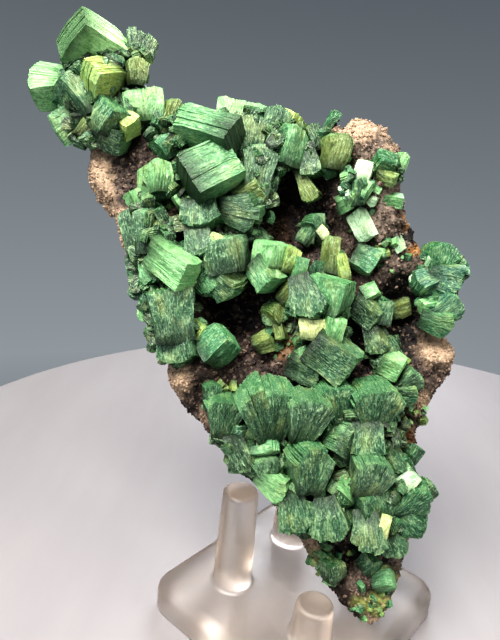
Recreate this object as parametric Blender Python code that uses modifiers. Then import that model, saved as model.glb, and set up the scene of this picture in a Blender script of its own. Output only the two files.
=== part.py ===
"""Metatorbernite crystals on their matrix rock, standing in a clear four-peg display stand.

The stand's square base lies on the ground plane around the origin. The specimen is placed in a
frame of its own, the face frame: its origin is the rock's lower tip, u runs to the right along the
showy face, v runs up it and w stands out of it. The whole face leans back against the tall pegs.
Each crystal is a book of square plates: it grows along one axis and its plates stack along another.
"""

import math

import bmesh
import bpy
from mathutils import Matrix, Vector, noise

MM = 0.001
GAP = 0.3                      # clearance between pieces that touch, in mm like all sizes below

# The stand, one clear moulding.
BASE_SIDE = 38.0
BASE_THICK = 5.7
BASE_CORNER = 4.0
BASE_ROUND = 2.2
BASE_FOOT_EDGE = 0.5
BASE_YAW = 51.0                # turn of the square base about the vertical, in degrees
PEG_RING = 12.1                # distance of each peg's axis from the centre
PEG_FOOT_RADIUS = 3.45
PEG_TOP_RADIUS = 3.05
PEG_FILLET = 0.7
PEG_EDGE = 0.8
PEG_SEGMENTS = 14
TALL_PEG = 18.6
SHORT_PEG = 6.6
PEGS = ((186.0, TALL_PEG), (96.0, TALL_PEG), (276.0, SHORT_PEG), (6.0, SHORT_PEG))

# The face frame of the specimen.
TIP = (11.5, -9.3, BASE_THICK + GAP)
LEAN_BACK = 16.66
ROLL = 5.51
EYE = (-20.0, 51.2, 93.1)      # the point, in the face frame, that the face is seen from

# The rock's outline on the face plane (u, v), clockwise from the lower tip.
ROCK_OUTLINE = (
    (0.0, 0.0), (-4.2, 3.8), (-8.0, 9.6), (-11.6, 14.6), (-18.0, 22.6), (-22.1, 27.6),
    (-28.0, 34.0), (-31.8, 38.8), (-33.0, 43.4), (-34.0, 47.0), (-36.0, 53.0), (-39.6, 58.0),
    (-42.2, 64.0), (-42.6, 68.4), (-45.4, 73.6), (-47.2, 80.0), (-48.4, 87.0), (-46.0, 93.0),
    (-40.5, 92.6), (-38.0, 86.0), (-35.0, 80.6), (-30.0, 82.6), (-20.0, 83.2), (-11.6, 82.6),
    (-4.4, 83.6), (-0.8, 82.8), (2.4, 80.2), (4.2, 77.0), (5.6, 71.0), (7.0, 65.2),
    (8.4, 62.0), (11.8, 60.8), (15.4, 59.2), (15.0, 54.6), (12.6, 49.0), (13.0, 46.0),
    (12.0, 42.8), (10.0, 39.0), (7.2, 36.2), (7.8, 29.6), (7.2, 22.0), (6.6, 16.2), (4.8, 9.0),
    (3.2, 4.4),
)
ROCK_HALF_DEPTH = 4.6
ROCK_ROUND = 2.0
ROCK_SHIFT = -3.2              # the rock's middle plane lies behind the face plane
TIP_TAPER_HEIGHT = 22.0
TIP_TAPER = 0.42
ROCK_VOXEL = 1.1
ROCK_FACES = 900
ROCK_SEED = 11.3
# How rough the rock is: swells per mm and their height in mm, from broad to small.
ROCK_SWELLS = ((0.09, 1.9), (0.24, 1.1), (0.6, 0.45))

# Rounded lobes on the rock: centre u, v, w, then radii along u, v, w.
ROCK_LOBES = (
    (0.6, 71.5, -0.8, 5.0, 12.0, 5.2),      # the grey-brown lobe at the right
    (-2.6, 80.0, -1.0, 4.6, 4.2, 4.4),
    (-29.6, 41.6, -1.4, 4.2, 3.6, 4.0),     # the tan lobe at the left
    (-43.4, 76.0, -1.8, 3.6, 8.0, 3.6),     # the arm
    (-42.8, 86.0, -1.6, 5.0, 7.0, 3.8),
    (12.2, 44.6, -1.8, 2.4, 3.4, 3.6),
    (6.2, 31.0, -0.8, 2.4, 6.0, 3.0),
    (-10.4, 26.0, -7.6, 7.6, 7.4, 5.8),     # bulge that bears on the rear peg
    (-16.0, 52.0, -6.0, 13.0, 20.0, 4.4),
    (-4.0, 60.0, -6.4, 9.0, 15.0, 4.0),
    (-26.0, 66.0, -5.4, 12.0, 13.0, 4.0),
)

# Hollows in the face: centre u, v, then radii along u, v, then depth.
ROCK_HOLLOWS = (
    (-22.0, 53.0, 8.5, 7.0, 7.0),
    (-13.0, 69.5, 7.5, 10.5, 6.4),
    (4.8, 51.0, 5.5, 7.5, 5.0),
    (-1.5, 47.0, 5.0, 5.0, 3.0),
    (5.4, 33.0, 3.0, 5.0, 2.6),
    (-1.6, 12.0, 4.6, 3.4, 1.8),
    (-6.0, 66.0, 3.0, 4.5, 4.0),
)

# Crystals by cluster. Each row: seen place u, v; height w; length along growth; stack height;
# breadth; growth heading in the face (0 = right, 90 = up); rise of the growth towards the viewer;
# turn of the stack towards the viewer; spread of the book's plates; all angles in degrees.
CLUSTERS = {
    "top_crystal_cluster": (
        (-46.2, 96.4, 2.6, 8.2, 5.0, 8.0, -16, -45, 141, 0),
        (-38.4, 95.0, 0.4, 6.2, 4.4, 4.6, 76, 0, 15, 20),
        (-38.8, 92.0, 3.4, 4.4, 3.2, 3.6, 82, 5, 20, 25),
        (-52.6, 89.6, 1.6, 7.2, 6.0, 5.0, 178, 5, 30, 12),
        (-50.4, 83.4, 1.6, 4.0, 3.2, 5.6, 212, 5, 62, 0),
        (-48.2, 88.2, 3.2, 7.6, 4.8, 4.6, 122, 5, 38, 12),
        (-44.6, 91.2, 4.6, 5.4, 4.6, 4.4, 205, 42, 25, 0),
        (-43.2, 84.2, 3.8, 5.2, 4.8, 4.6, 52, 22, 62, 0),
        (-40.6, 83.2, 3.4, 3.8, 3.2, 3.4, -36, 15, 60, 0),
        (-43.0, 81.4, 2.4, 5.6, 4.0, 4.0, -24, 5, 35, 0),
        (-43.7, 87.4, 3.2, 3.0, 1.3, 1.4, 92, 10, 20, 0),
        (-47.0, 83.2, 2.4, 4.4, 3.2, 3.2, 62, 5, 35, 0),
        (-37.6, 86.4, 1.6, 5.6, 6.4, 4.0, 96, 10, 8, 8),      # broad block on the arm
        (-40.2, 86.4, 2.2, 4.2, 2.2, 3.0, -46, 8, 30, 0),
    ),
    "upper_left_crystal_cluster": (
        (-33.4, 84.4, 1.6, 6.0, 1.9, 2.6, 68, 5, 30, 12),
        (-34.4, 83.8, 1.4, 4.2, 2.6, 2.4, 104, 5, 15, 15),
        (-33.8, 79.8, 2.2, 4.4, 3.4, 3.2, 120, 10, 25, 20),
        (-26.8, 82.0, 4.6, 10.8, 5.2, 5.4, 157, -24, 24, 0),     # long block across the top
        (-20.2, 80.8, 2.8, 7.0, 4.4, 4.4, 84, 5, 10, 10),
        (-22.0, 83.8, 1.2, 5.8, 7.6, 5.0, 80, 0, 8, 0),
        (-16.4, 82.6, 2.4, 7.2, 4.2, 4.2, 62, 5, 15, 20),
        (-13.6, 79.6, 3.2, 6.6, 4.0, 4.2, 76, 5, 45, 0),
        (-13.6, 83.2, 1.8, 4.2, 3.2, 3.2, 50, 5, 50, 0),
        (-26.6, 75.0, 5.2, 8.6, 6.8, 7.6, 30, -15, -10, 0),      # the largest block
        (-19.0, 75.4, 3.4, 9.4, 4.4, 4.2, 82, 5, 15, 14),
        (-16.8, 74.4, 2.4, 3.2, 2.2, 2.2, 82, 5, 20, 0),
        (-20.4, 72.2, 3.8, 4.8, 3.6, 3.6, 20, 10, 40, 0),
        (-21.6, 69.4, 4.0, 6.6, 5.8, 5.0, -10, 10, 22, 24),
        (-18.6, 65.4, 2.0, 5.0, 1.8, 2.0, -42, 5, 20, 0),
    ),
    "left_crystal_cluster": (
        (-35.9, 74.0, 3.2, 5.6, 2.8, 6.2, 94, -5, -140, 0),      # pale plate face, ribbed side
        (-35.2, 69.8, 2.8, 1.8, 1.8, 1.8, 30, 10, 40, 0),
        (-38.6, 70.2, 1.6, 4.4, 3.2, 3.2, 112, 5, 40, 0),
        (-39.6, 65.2, 1.4, 7.2, 2.8, 4.0, 100, 0, 10, 8),
        (-37.2, 65.4, 2.8, 7.2, 3.6, 4.2, 92, 0, 5, 8),
        (-34.4, 65.6, 2.8, 5.8, 3.8, 4.0, 80, 0, 5, 8),
        (-28.0, 68.4, 4.4, 5.2, 7.4, 5.0, -88, 10, 8, 26),
        (-31.2, 70.6, 3.6, 2.8, 2.0, 2.0, 120, 10, 20, 0),
        (-28.4, 63.8, 4.2, 5.0, 4.6, 4.2, -86, 5, 5, 14),
        (-26.2, 63.2, 6.0, 4.0, 0.9, 2.2, 64, 15, 74, 0),
        (-23.6, 61.8, 4.2, 5.8, 6.2, 5.2, 100, 10, 66, 0),
        (-24.2, 57.6, 3.4, 6.2, 4.2, 4.6, -50, 5, 40, 14),
        (-27.0, 58.8, 3.4, 6.2, 2.6, 3.2, -62, 5, 20, 8),
        (-32.8, 60.4, 5.8, 8.4, 4.8, 4.6, -38, 22, 28, 0),      # long proud block
        (-38.8, 59.4, 1.0, 5.8, 1.8, 3.0, -68, 0, 10, 8),
        (-36.6, 59.4, 2.6, 5.2, 2.6, 3.2, -80, 5, 10, 8),
        (-36.6, 56.0, 2.4, 4.4, 2.8, 3.2, -72, 5, 25, 8),
        (-37.0, 53.4, 1.4, 5.2, 1.8, 3.0, -86, 0, 10, 8),
    ),
    "lower_left_crystal_cluster": (
        (-33.0, 51.8, 4.2, 9.2, 6.4, 5.6, 97, 5, 14, 6),
        (-30.2, 54.6, 3.2, 4.4, 1.8, 3.0, 90, 5, 10, 0),
        (-35.6, 49.6, 1.4, 4.8, 2.4, 3.2, -90, 0, 10, 8),
        (-31.6, 46.4, 3.2, 5.0, 6.0, 5.0, -82, 5, 18, 12),
        (-28.2, 49.0, 2.4, 3.4, 2.8, 3.0, 60, 5, 50, 0),
        (-25.6, 46.8, 3.4, 5.4, 4.6, 5.0, 38, 8, 58, 0),
    ),
    "middle_block_cluster": (
        (-16.6, 61.8, 3.6, 4.2, 4.0, 4.2, 80, 12, 45, 0),
        (-17.4, 58.6, 3.6, 5.0, 4.0, 4.2, -60, 20, 35, 0),
        (-13.6, 61.0, 3.2, 4.4, 2.4, 2.8, 70, 10, 25, 0),
    ),
    "central_crystal_cluster": (
        (-11.8, 59.2, 4.0, 4.4, 2.0, 2.6, 80, 10, 20, 0),
        (-14.0, 55.6, 2.8, 3.6, 2.0, 2.4, 45, 10, 20, 0),
        (-10.4, 54.6, 4.6, 7.6, 5.0, 5.0, -76, 10, 20, 24),
        (-6.7, 55.4, 4.8, 5.4, 4.8, 6.0, 78, 19, 60, 0),      # block with three clear faces
        (-9.6, 49.4, 5.0, 3.4, 1.6, 4.2, 90, 5, 82, 0),
        (-6.4, 49.6, 5.0, 4.2, 3.0, 4.0, 80, 5, 15, 0),
        (-6.3, 45.0, 5.4, 7.8, 5.4, 5.4, -38, 10, 20, 0),      # ribbed block under it
        (-11.0, 43.0, 3.6, 5.8, 3.6, 4.2, -25, 5, 30, 0),
    ),
    "olive_crystal_cluster": (
        (-15.4, 52.2, 1.2, 4.2, 4.0, 4.0, 110, 10, 30, 30),
        (-15.0, 49.4, 1.6, 3.6, 1.6, 2.0, -80, 5, 20, 0),
    ),
    "spear_crystal_pair": (
        (-6.6, 61.9, 2.4, 6.2, 2.2, 2.8, 83, 5, 20, 0),
        (-5.0, 59.6, 2.4, 4.8, 1.8, 2.4, 100, 5, 20, 0),
    ),
    "hollow_plate_cluster": (
        (-9.2, 66.7, 0.4, 3.8, 2.4, 3.0, 110, 15, 30, 20),
        (-8.0, 65.5, 1.6, 1.9, 1.0, 1.9, 38, 5, 86, 0),
        (-10.6, 65.0, 0.2, 3.4, 1.8, 2.4, 60, 10, 30, 0),
    ),
    "upper_right_crystal_cluster": (
        (-6.0, 78.8, 4.0, 5.6, 3.6, 4.2, 80, 10, 20, 14),
        (-9.6, 81.0, 2.4, 4.4, 2.4, 3.0, 108, 5, 20, 0),
        (-10.0, 77.2, 2.4, 5.4, 2.8, 3.2, -80, 5, 20, 10),
        (-10.8, 73.4, 1.4, 7.0, 1.8, 2.6, -64, 5, 20, 10),
    ),
    "lobe_crest_cluster": (
        (2.4, 76.7, 4.2, 4.2, 2.4, 3.8, 165, 15, 40, 16),
        (4.6, 76.9, 3.4, 3.6, 1.4, 3.4, 68, 0, 30, 0),
        (2.9, 74.8, 4.2, 3.2, 1.8, 3.0, -30, 15, 50, 0),
    ),
    "lobe_plate_cluster": (
        (-1.1, 75.4, 5.0, 3.6, 1.3, 2.6, 72, 5, 78, 0),
        (-1.1, 72.2, 5.2, 3.6, 1.3, 2.2, 66, 5, 60, 0),
        (-2.6, 71.9, 4.8, 4.0, 1.2, 2.4, 86, 5, 30, 0),
        (-4.2, 70.6, 4.0, 3.4, 2.0, 2.4, 24, 10, 30, 0),
    ),
    "right_knob_upper_cluster": (
        (11.2, 60.8, 1.8, 6.2, 4.2, 4.2, 72, 10, 20, 26),
        (12.6, 58.0, 2.4, 6.0, 4.2, 4.2, -20, 10, 20, 16),
        (9.2, 57.6, 2.2, 4.8, 3.2, 3.6, 198, 10, 20, 16),
    ),
    "right_knob_lower_cluster": (
        (12.2, 53.2, 2.2, 5.2, 4.4, 4.2, 32, 10, 30, 20),
        (10.8, 51.0, 2.6, 5.2, 3.6, 3.8, -20, 10, 30, 16),
        (9.8, 53.0, 2.4, 3.4, 2.0, 2.6, 190, 15, 50, 0),
    ),
    "inner_right_cluster": (
        (-0.7, 52.4, 2.2, 5.4, 3.4, 4.2, -40, 18, 40, 0),
        (2.0, 52.2, 1.8, 4.0, 2.4, 3.2, 80, 5, 20, 0),
        (0.0, 55.6, 2.4, 3.2, 1.4, 2.4, 30, 10, 60, 0),
    ),
    "inner_right_small_cluster": (
        (0.8, 47.6, 2.2, 4.8, 3.4, 3.6, -76, 8, 25, 16),
        (3.5, 43.6, 2.8, 4.0, 3.4, 3.4, -26, 15, 30, 0),
        (6.4, 41.0, 2.2, 4.2, 3.2, 3.2, 30, 10, 30, 20),
        (5.4, 39.0, 2.2, 4.6, 3.0, 3.2, -10, 5, 30, 14),
        (3.0, 45.6, 1.6, 4.0, 2.4, 2.8, 120, 5, 30, 0),
    ),
    "lower_fan_cluster": (
        (-4.6, 22.8, 4.4, 5.2, 2.2, 3.4, 128, 10, 30, 10),
        (-17.3, 36.0, 5.2, 10.6, 4.8, 6.4, 95, 28, 8, 46),      # wide sheaf at the left
        (-10.9, 35.0, 6.8, 8.8, 4.4, 5.4, 72, 20, 15, 40),
        (-6.4, 36.8, 4.0, 8.6, 4.8, 5.0, 97, 22, 10, 20),
        (0.4, 36.8, 4.8, 8.4, 4.4, 5.6, 86, 26, 10, 52),       # fan at the right
        (-24.4, 35.0, 3.6, 7.0, 4.4, 4.4, 82, 15, 15, 36),
        (-26.6, 38.4, 2.6, 4.8, 1.8, 2.4, 84, 10, 20, 20),
        (-21.2, 31.2, 3.4, 4.6, 2.8, 3.4, 70, 5, 20, 0),
        (-21.2, 29.2, 3.6, 6.6, 4.0, 4.2, -70, 5, 20, 10),
        (-17.9, 30.2, 4.8, 4.8, 1.3, 3.4, 8, 8, 55, 20),
        (-17.6, 26.6, 4.4, 4.4, 3.6, 3.4, 96, 16, 20, 30),
        (-10.6, 26.6, 6.2, 8.8, 5.0, 5.8, 84, 18, 22, 26),       # proud fan in the middle
        (-5.0, 31.0, 4.6, 5.8, 4.6, 4.6, 120, 22, 20, 30),
        (-0.4, 31.2, 5.0, 6.0, 5.0, 4.8, -88, 8, 10, 10),
        (-0.4, 25.6, 5.8, 7.4, 5.0, 5.6, 70, 20, 14, 34),
        (3.8, 28.6, 4.2, 5.4, 2.2, 3.2, -60, 5, 20, 0),
        (-16.4, 24.0, 4.8, 5.6, 3.4, 3.4, -34, 10, 20, 14),
        (-12.3, 19.6, 4.4, 7.6, 4.8, 5.0, -78, 4, 14, 16),
        (-6.9, 18.3, 5.0, 7.6, 4.8, 5.2, -84, 8, 12, 26),
        (-0.5, 16.3, 4.8, 6.6, 5.0, 5.0, -84, 8, 12, 24),
        (0.6, 20.9, 4.2, 5.4, 7.0, 4.6, 92, 16, 20, 10),
        (2.3, 16.4, 7.0, 4.0, 1.0, 1.9, 76, 5, 76, 0),
        (6.2, 20.9, 3.4, 7.2, 3.8, 4.4, 32, 12, 24, 30),
        (8.4, 22.4, 2.4, 4.6, 2.0, 2.6, 36, 5, 25, 16),
        (6.2, 18.0, 3.0, 5.6, 4.2, 4.0, -50, 10, 20, 20),
        (3.6, 14.6, 3.2, 5.0, 3.2, 3.6, -72, 5, 20, 12),
        (5.9, 24.3, 4.8, 3.4, 1.4, 3.0, 44, 10, 80, 0),
        (4.8, 25.8, 3.4, 4.0, 2.4, 3.0, 24, 5, 30, 0),
    ),
}

# Small crystals that sit alone on the rock and are one with it.
LONE_CRYSTALS = (
    (-0.9, 61.0, 3.0, 4.4, 2.6, 4.2, -30, 5, 84, 0),
    (-1.2, 66.8, 3.8, 5.2, 2.2, 3.0, -64, 5, 45, 0),
    (3.7, 70.8, 2.8, 3.6, 1.6, 2.8, -6, 5, 30, 0),
    (4.6, 63.6, 1.6, 2.6, 1.4, 2.4, -60, 10, 40, 0),
    (-17.6, 47.2, 1.0, 3.2, 2.4, 3.2, 24, 10, 30, 0),
    (-6.6, 83.8, -0.4, 4.4, 1.0, 2.4, 55, 0, 20, 0),
    (-6.2, 9.6, 1.6, 3.4, 2.8, 3.2, 100, 10, 30, 0),
    (-0.2, 10.6, 0.6, 3.0, 2.4, 3.0, 60, 15, 40, 0),
    (2.2, 7.6, 1.2, 3.4, 2.2, 3.0, 18, 15, 40, 0),
    (7.0, 28.6, 1.6, 3.4, 1.6, 2.6, 60, 10, 30, 0),
    (4.6, 53.2, -3.2, 3.8, 2.4, 3.6, 18, 10, 30, 0),
)

# Low mounds of intergrown crystal that each cluster's books rise from: u, v, w, radii.
CLUSTER_ROOTS = {
    "top_crystal_cluster": ((-45.6, 88.4, 1.6, 5.6, 8.4, 3.0), (-40.0, 92.6, 1.2, 3.4, 3.4, 2.4),
                            (-38.4, 86.0, 0.6, 3.4, 2.8, 2.2)),
    "upper_left_crystal_cluster": (
        (-23.0, 79.6, 2.2, 10.0, 5.0, 3.2), (-19.6, 71.8, 1.8, 3.2, 7.0, 2.6),
        (-32.0, 81.2, 1.6, 4.2, 3.0, 2.4), (-14.6, 80.6, 1.8, 3.4, 4.0, 2.6)),
    "left_crystal_cluster": (
        (-32.4, 66.0, 1.8, 6.6, 8.6, 3.0), (-26.4, 61.0, 1.8, 5.0, 5.4, 3.0),
        (-35.4, 58.0, 1.4, 3.6, 6.0, 2.6)),
    "lower_left_crystal_cluster": ((-32.2, 49.4, 1.4, 4.4, 5.6, 3.0), (-27.0, 47.4, 1.2, 3.6, 2.6, 2.6)),
    "middle_block_cluster": ((-15.8, 60.4, 1.0, 3.4, 2.6, 3.0),),
    "central_crystal_cluster": ((-8.8, 54.0, 1.8, 4.6, 5.4, 3.2), (-8.0, 46.4, 1.8, 4.2, 4.6, 3.2)),
    "olive_crystal_cluster": ((-15.2, 51.2, 0.2, 2.4, 2.6, 1.6),),
    "spear_crystal_pair": ((-5.9, 59.6, 0.8, 1.8, 2.4, 1.8),),
    "hollow_plate_cluster": ((-9.6, 65.4, -1.6, 2.2, 2.2, 2.0),),
    "upper_right_crystal_cluster": ((-8.2, 78.6, 1.6, 3.8, 3.6, 2.2),),
    "lobe_crest_cluster": ((2.9, 76.0, 3.4, 2.6, 2.0, 1.8),),
    "lobe_plate_cluster": ((-2.0, 72.8, 4.0, 2.2, 3.2, 1.6),),
    "right_knob_upper_cluster": ((11.2, 58.8, 1.0, 3.4, 3.0, 2.0),),
    "right_knob_lower_cluster": ((11.2, 52.4, 1.2, 2.8, 2.2, 2.0),),
    "inner_right_cluster": ((0.6, 52.8, 0.4, 2.6, 2.4, 2.2),),
    "inner_right_small_cluster": ((2.2, 45.4, 0.8, 2.6, 3.4, 2.0), (5.4, 40.4, 1.4, 2.8, 2.4, 1.8)),
    "lower_fan_cluster": (
        (-17.0, 32.6, 2.2, 8.0, 6.6, 3.0), (-3.0, 33.0, 2.4, 8.0, 5.4, 3.2),
        (-9.4, 23.6, 2.4, 6.6, 7.0, 3.0), (1.4, 22.0, 2.2, 5.8, 7.4, 3.0)),
}

ROOT_SHRINK = 0.68             # a fan's width at its root, as a share of its width at its end
STEP_LENGTH = 0.86             # the second slab of a book, as shares of the first
STEP_BREADTH = 0.84
STEP_STACK = 0.30
STEP_MINIMUM = 4.5             # books thinner than this are one slab
BLOCK_ROOT = 0.9
FAN_SLABS = 3
FAN_MINIMUM = 24               # books spread by less than this many degrees stay blocks
FAN_SWING = 0.62               # how much of the spread the outer slabs take
FAN_OFFSET = 0.36              # where the outer slabs start, as a share of the stack
FAN_STACK = 0.5
FAN_SHORTEN = 0.44
FAN_NARROW = 0.12
SPARE = 0.08                   # added to the gap where the cut faces are merged afterwards
WELD = 0.001                   # points nearer than this are made one after a join
CRUMB = 1.3                    # loose bits smaller than this are dropped
# Points this near (mm) and faces this near one plane (degrees) are merged: the first pair that
# leaves a closed body is kept.
TIDY_STEPS = ((0.02, 5.0), (0.0, 5.0), (0.02, 2.0), (0.004, 1.0), (0.0, 1.0), (0.02, 0.0), (0.0, 0.0))


def face_matrix():
    """Face frame to world, in mm: u, v, w as columns and the rock's tip as the origin."""
    pitch, roll = math.radians(LEAN_BACK), math.radians(ROLL)
    level = Vector((1.0, 0.0, 0.0))
    up = Vector((0.0, math.sin(pitch), math.cos(pitch)))
    out = Vector((0.0, -math.cos(pitch), math.sin(pitch)))
    across = level * math.cos(roll) + up * math.sin(roll)
    along = up * math.cos(roll) - level * math.sin(roll)
    matrix = Matrix((across, along, out)).transposed().to_4x4()
    matrix.translation = Vector(TIP)
    return matrix


FACE = face_matrix()


def seen(u, v, w):
    """The place in the face frame, w above the face, that lines up with u, v seen from the eye."""
    share = (EYE[2] - w) / EYE[2]
    return Vector((EYE[0] + (u - EYE[0]) * share, EYE[1] + (v - EYE[1]) * share, w))


def clear_scene():
    for item in list(bpy.data.objects):
        bpy.data.objects.remove(item, do_unlink=True)


def new_collection(name):
    collection = bpy.data.collections.new(name)
    bpy.context.scene.collection.children.link(collection)
    return collection


def srgb(code):
    """A hex colour as linear RGBA."""
    values = []
    for start in (1, 3, 5):
        level = int(code[start:start + 2], 16) / 255.0
        values.append(level / 12.92 if level < 0.04045 else ((level + 0.055) / 1.055) ** 2.4)
    return (*values, 1.0)


def make_material(name, colour, roughness, transmission=0.0, ior=1.5):
    material = bpy.data.materials.new(name)
    material.use_nodes = True
    shader = material.node_tree.nodes["Principled BSDF"]
    shader.inputs["Base Color"].default_value = srgb(colour)
    shader.inputs["Roughness"].default_value = roughness
    shader.inputs["Metallic"].default_value = 0.0
    shader.inputs["Transmission Weight"].default_value = transmission
    shader.inputs["IOR"].default_value = ior
    return material


def object_from_bmesh(name, shape, collection, material=None):
    mesh = bpy.data.meshes.new(name)
    shape.to_mesh(mesh)
    shape.free()
    item = bpy.data.objects.new(name, mesh)
    collection.objects.link(item)
    if material:
        mesh.materials.append(material)
    return item


def as_cutter(item):
    item.hide_render = True
    item.display_type = "WIRE"
    return item


def evaluated_mesh(item):
    bpy.context.view_layer.update()
    depsgraph = bpy.context.evaluated_depsgraph_get()
    return bpy.data.meshes.new_from_object(item.evaluated_get(depsgraph))


def apply_modifiers(item):
    """Replace an object's mesh with what its modifiers give, and clear them."""
    mesh = evaluated_mesh(item)
    old = item.data
    item.modifiers.clear()
    item.data = mesh
    bpy.data.meshes.remove(old)


def is_closed(shape):
    return all(len(edge.link_faces) == 2 for edge in shape.edges)


def combine(item, other, operation):
    """One exact Boolean of the object with another, left on the object as a modifier."""
    modifier = item.modifiers.new(operation.lower(), "BOOLEAN")
    modifier.operation = operation
    modifier.solver = "EXACT"
    modifier.object = other


def weld(item):
    """Merge the nearly coincident points that a join leaves, which could open the next join."""
    shape = bmesh.new()
    shape.from_mesh(item.data)
    bmesh.ops.remove_doubles(shape, verts=shape.verts, dist=WELD * MM)
    bmesh.ops.dissolve_degenerate(shape, edges=shape.edges, dist=WELD * MM)
    shape.to_mesh(item.data)
    shape.free()


def fuse(item, shapes, collection):
    """Join closed shapes into the object one after another."""
    for shape in shapes:
        piece = object_from_bmesh("fused", shape, collection)
        combine(item, piece, "UNION")
        apply_modifiers(item)
        bpy.data.objects.remove(piece, do_unlink=True)
        weld(item)


def bodies(shape):
    """The separate bodies of a mesh, as sets of faces."""
    left = set(shape.faces)
    found = []
    while left:
        body = {left.pop()}
        front = list(body)
        while front:
            near = {other for edge in front.pop().edges for other in edge.link_faces} - body
            body |= near
            front.extend(near)
        left -= body
        found.append(body)
    return found


def span(points):
    """The longest side of the box around some points."""
    return max(max(co[axis] for co in points) - min(co[axis] for co in points)
               for axis in range(3))


def tidy_faces(item):
    """Drop crumbs and sealed bubbles left by the cuts, and merge faces that lie in one plane."""
    shape = bmesh.new()
    shape.from_mesh(item.data)
    for body in bodies(shape):
        if span([vert.co for face in body for vert in face.verts]) < CRUMB * MM:
            bmesh.ops.delete(shape, geom=list(body), context="FACES")
    for weld, flat_within in TIDY_STEPS:
        merged = shape.copy()
        bmesh.ops.remove_doubles(merged, verts=merged.verts, dist=weld * MM)
        bmesh.ops.dissolve_limit(merged, angle_limit=math.radians(flat_within),
                                 verts=merged.verts, edges=merged.edges)
        bmesh.ops.triangulate(merged, faces=merged.faces)
        if is_closed(merged):
            merged.to_mesh(item.data)
            merged.free()
            break
        merged.free()
    shape.free()


def add_ellipsoid(shape, place, radii, subdivisions=2, turn=0.0):
    matrix = (Matrix.Translation(place) @ Matrix.Rotation(math.radians(turn), 4, "Z")
              @ Matrix.Diagonal((*radii, 1.0)))
    bmesh.ops.create_icosphere(shape, subdivisions=subdivisions, radius=1.0, matrix=matrix)


def crystal_axes(heading, rise, turn):
    """Columns g, c, b: growth, stack and breadth directions of a book, in the face frame."""
    heading, rise, turn = (math.radians(angle) for angle in (heading, rise, turn))
    growth = Vector((math.cos(heading) * math.cos(rise), math.sin(heading) * math.cos(rise),
                     math.sin(rise)))
    side = Vector((-math.sin(heading), math.cos(heading), 0.0))
    towards = growth.cross(side)
    stack = side * math.cos(turn) + towards * math.sin(turn)
    return Matrix((growth, stack, growth.cross(stack))).transposed()


def slab(place, axes, size, root, grow):
    """One flat-faced slab: size along growth, stack and breadth, narrowed to its root end."""
    shape = bmesh.new()
    for vert in bmesh.ops.create_cube(shape, size=1.0)["verts"]:
        g, c, b = vert.co
        narrow = 1.0 if g > 0 else root
        vert.co = place + axes @ Vector((g * (size[0] + 2.0 * grow),
                                         c * (size[1] * narrow + 2.0 * grow),
                                         b * (size[2] * narrow + 2.0 * grow)))
    to_world(shape)
    return shape


def book(row, grow=0.0):
    """A crystal: one slab, a block with a stepped second slab, or a fan of slabs from one root."""
    u, v, w, length, stack, breadth, heading, rise, turn, fan = row
    place = seen(u, v, w)
    axes = crystal_axes(heading, rise, turn)
    growth, stacking = axes.col[0], axes.col[1]
    slabs = []
    if fan >= FAN_MINIMUM:
        root_place = place - growth * length * 0.5
        for index in range(FAN_SLABS):
            share = index / (FAN_SLABS - 1) - 0.5
            swing = Matrix.Rotation(math.radians(fan * share * FAN_SWING), 3, axes.col[2])
            slab_axes = swing @ axes
            slab_length = length * (1.0 - FAN_SHORTEN * abs(share))
            centre = (root_place + slab_axes.col[0] * slab_length * 0.5
                      + stacking * stack * share * FAN_OFFSET)
            size = (slab_length, stack * FAN_STACK, breadth * (1.0 - FAN_NARROW * index))
            slabs.append(slab(centre, slab_axes, size, ROOT_SHRINK, grow))
        return slabs
    slabs.append(slab(place, axes, (length, stack, breadth), BLOCK_ROOT, grow))
    if stack >= STEP_MINIMUM:
        step = (length * STEP_LENGTH, stack * STEP_STACK, breadth * STEP_BREADTH)
        offset = stacking * (stack * 0.5 + step[1] * 0.3) - growth * length * 0.05
        slabs.append(slab(place + offset, axes, step, BLOCK_ROOT, grow))
    return slabs


def to_world(shape):
    """Face frame in mm to the world in metres, with faces turned outwards."""
    bmesh.ops.transform(shape, matrix=Matrix.Scale(MM, 4) @ FACE, verts=shape.verts)
    bmesh.ops.recalc_face_normals(shape, faces=shape.faces)


def peg_profile(height):
    """Radius and height from the rounded top edge down to the fillet at the foot."""
    points = [(0.0, height)]
    for step in range(3):
        angle = math.radians(90 - 45 * step)
        points.append((PEG_TOP_RADIUS - PEG_EDGE + PEG_EDGE * math.cos(angle),
                       height - PEG_EDGE + PEG_EDGE * math.sin(angle)))
    for step in range(3):
        angle = math.radians(45 * step)
        points.append((PEG_FOOT_RADIUS + PEG_FILLET - PEG_FILLET * math.cos(angle),
                       PEG_FILLET - PEG_FILLET * math.sin(angle)))
    points.append((PEG_FOOT_RADIUS + PEG_FILLET, -1.0))
    points.append((0.0, -1.0))
    return points


def turned_peg(name, height, collection, grow=0.0):
    """A peg turned from its profile with a Screw modifier, made a plain closed mesh."""
    shape = bmesh.new()
    verts = [shape.verts.new(((radius + grow if radius else 0.0) * MM, 0.0, level * MM))
             for radius, level in peg_profile(height + grow)]
    for first, second in zip(verts, verts[1:]):
        shape.edges.new((first, second))
    peg = object_from_bmesh(name, shape, collection)
    screw = peg.modifiers.new("turn", "SCREW")
    screw.steps = PEG_SEGMENTS
    screw.render_steps = PEG_SEGMENTS
    screw.use_merge_vertices = True
    screw.merge_threshold = 0.00001
    apply_modifiers(peg)
    return peg


def peg_place(angle):
    turn = math.radians(angle)
    return Vector((PEG_RING * math.cos(turn), PEG_RING * math.sin(turn), BASE_THICK)) * MM


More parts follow.
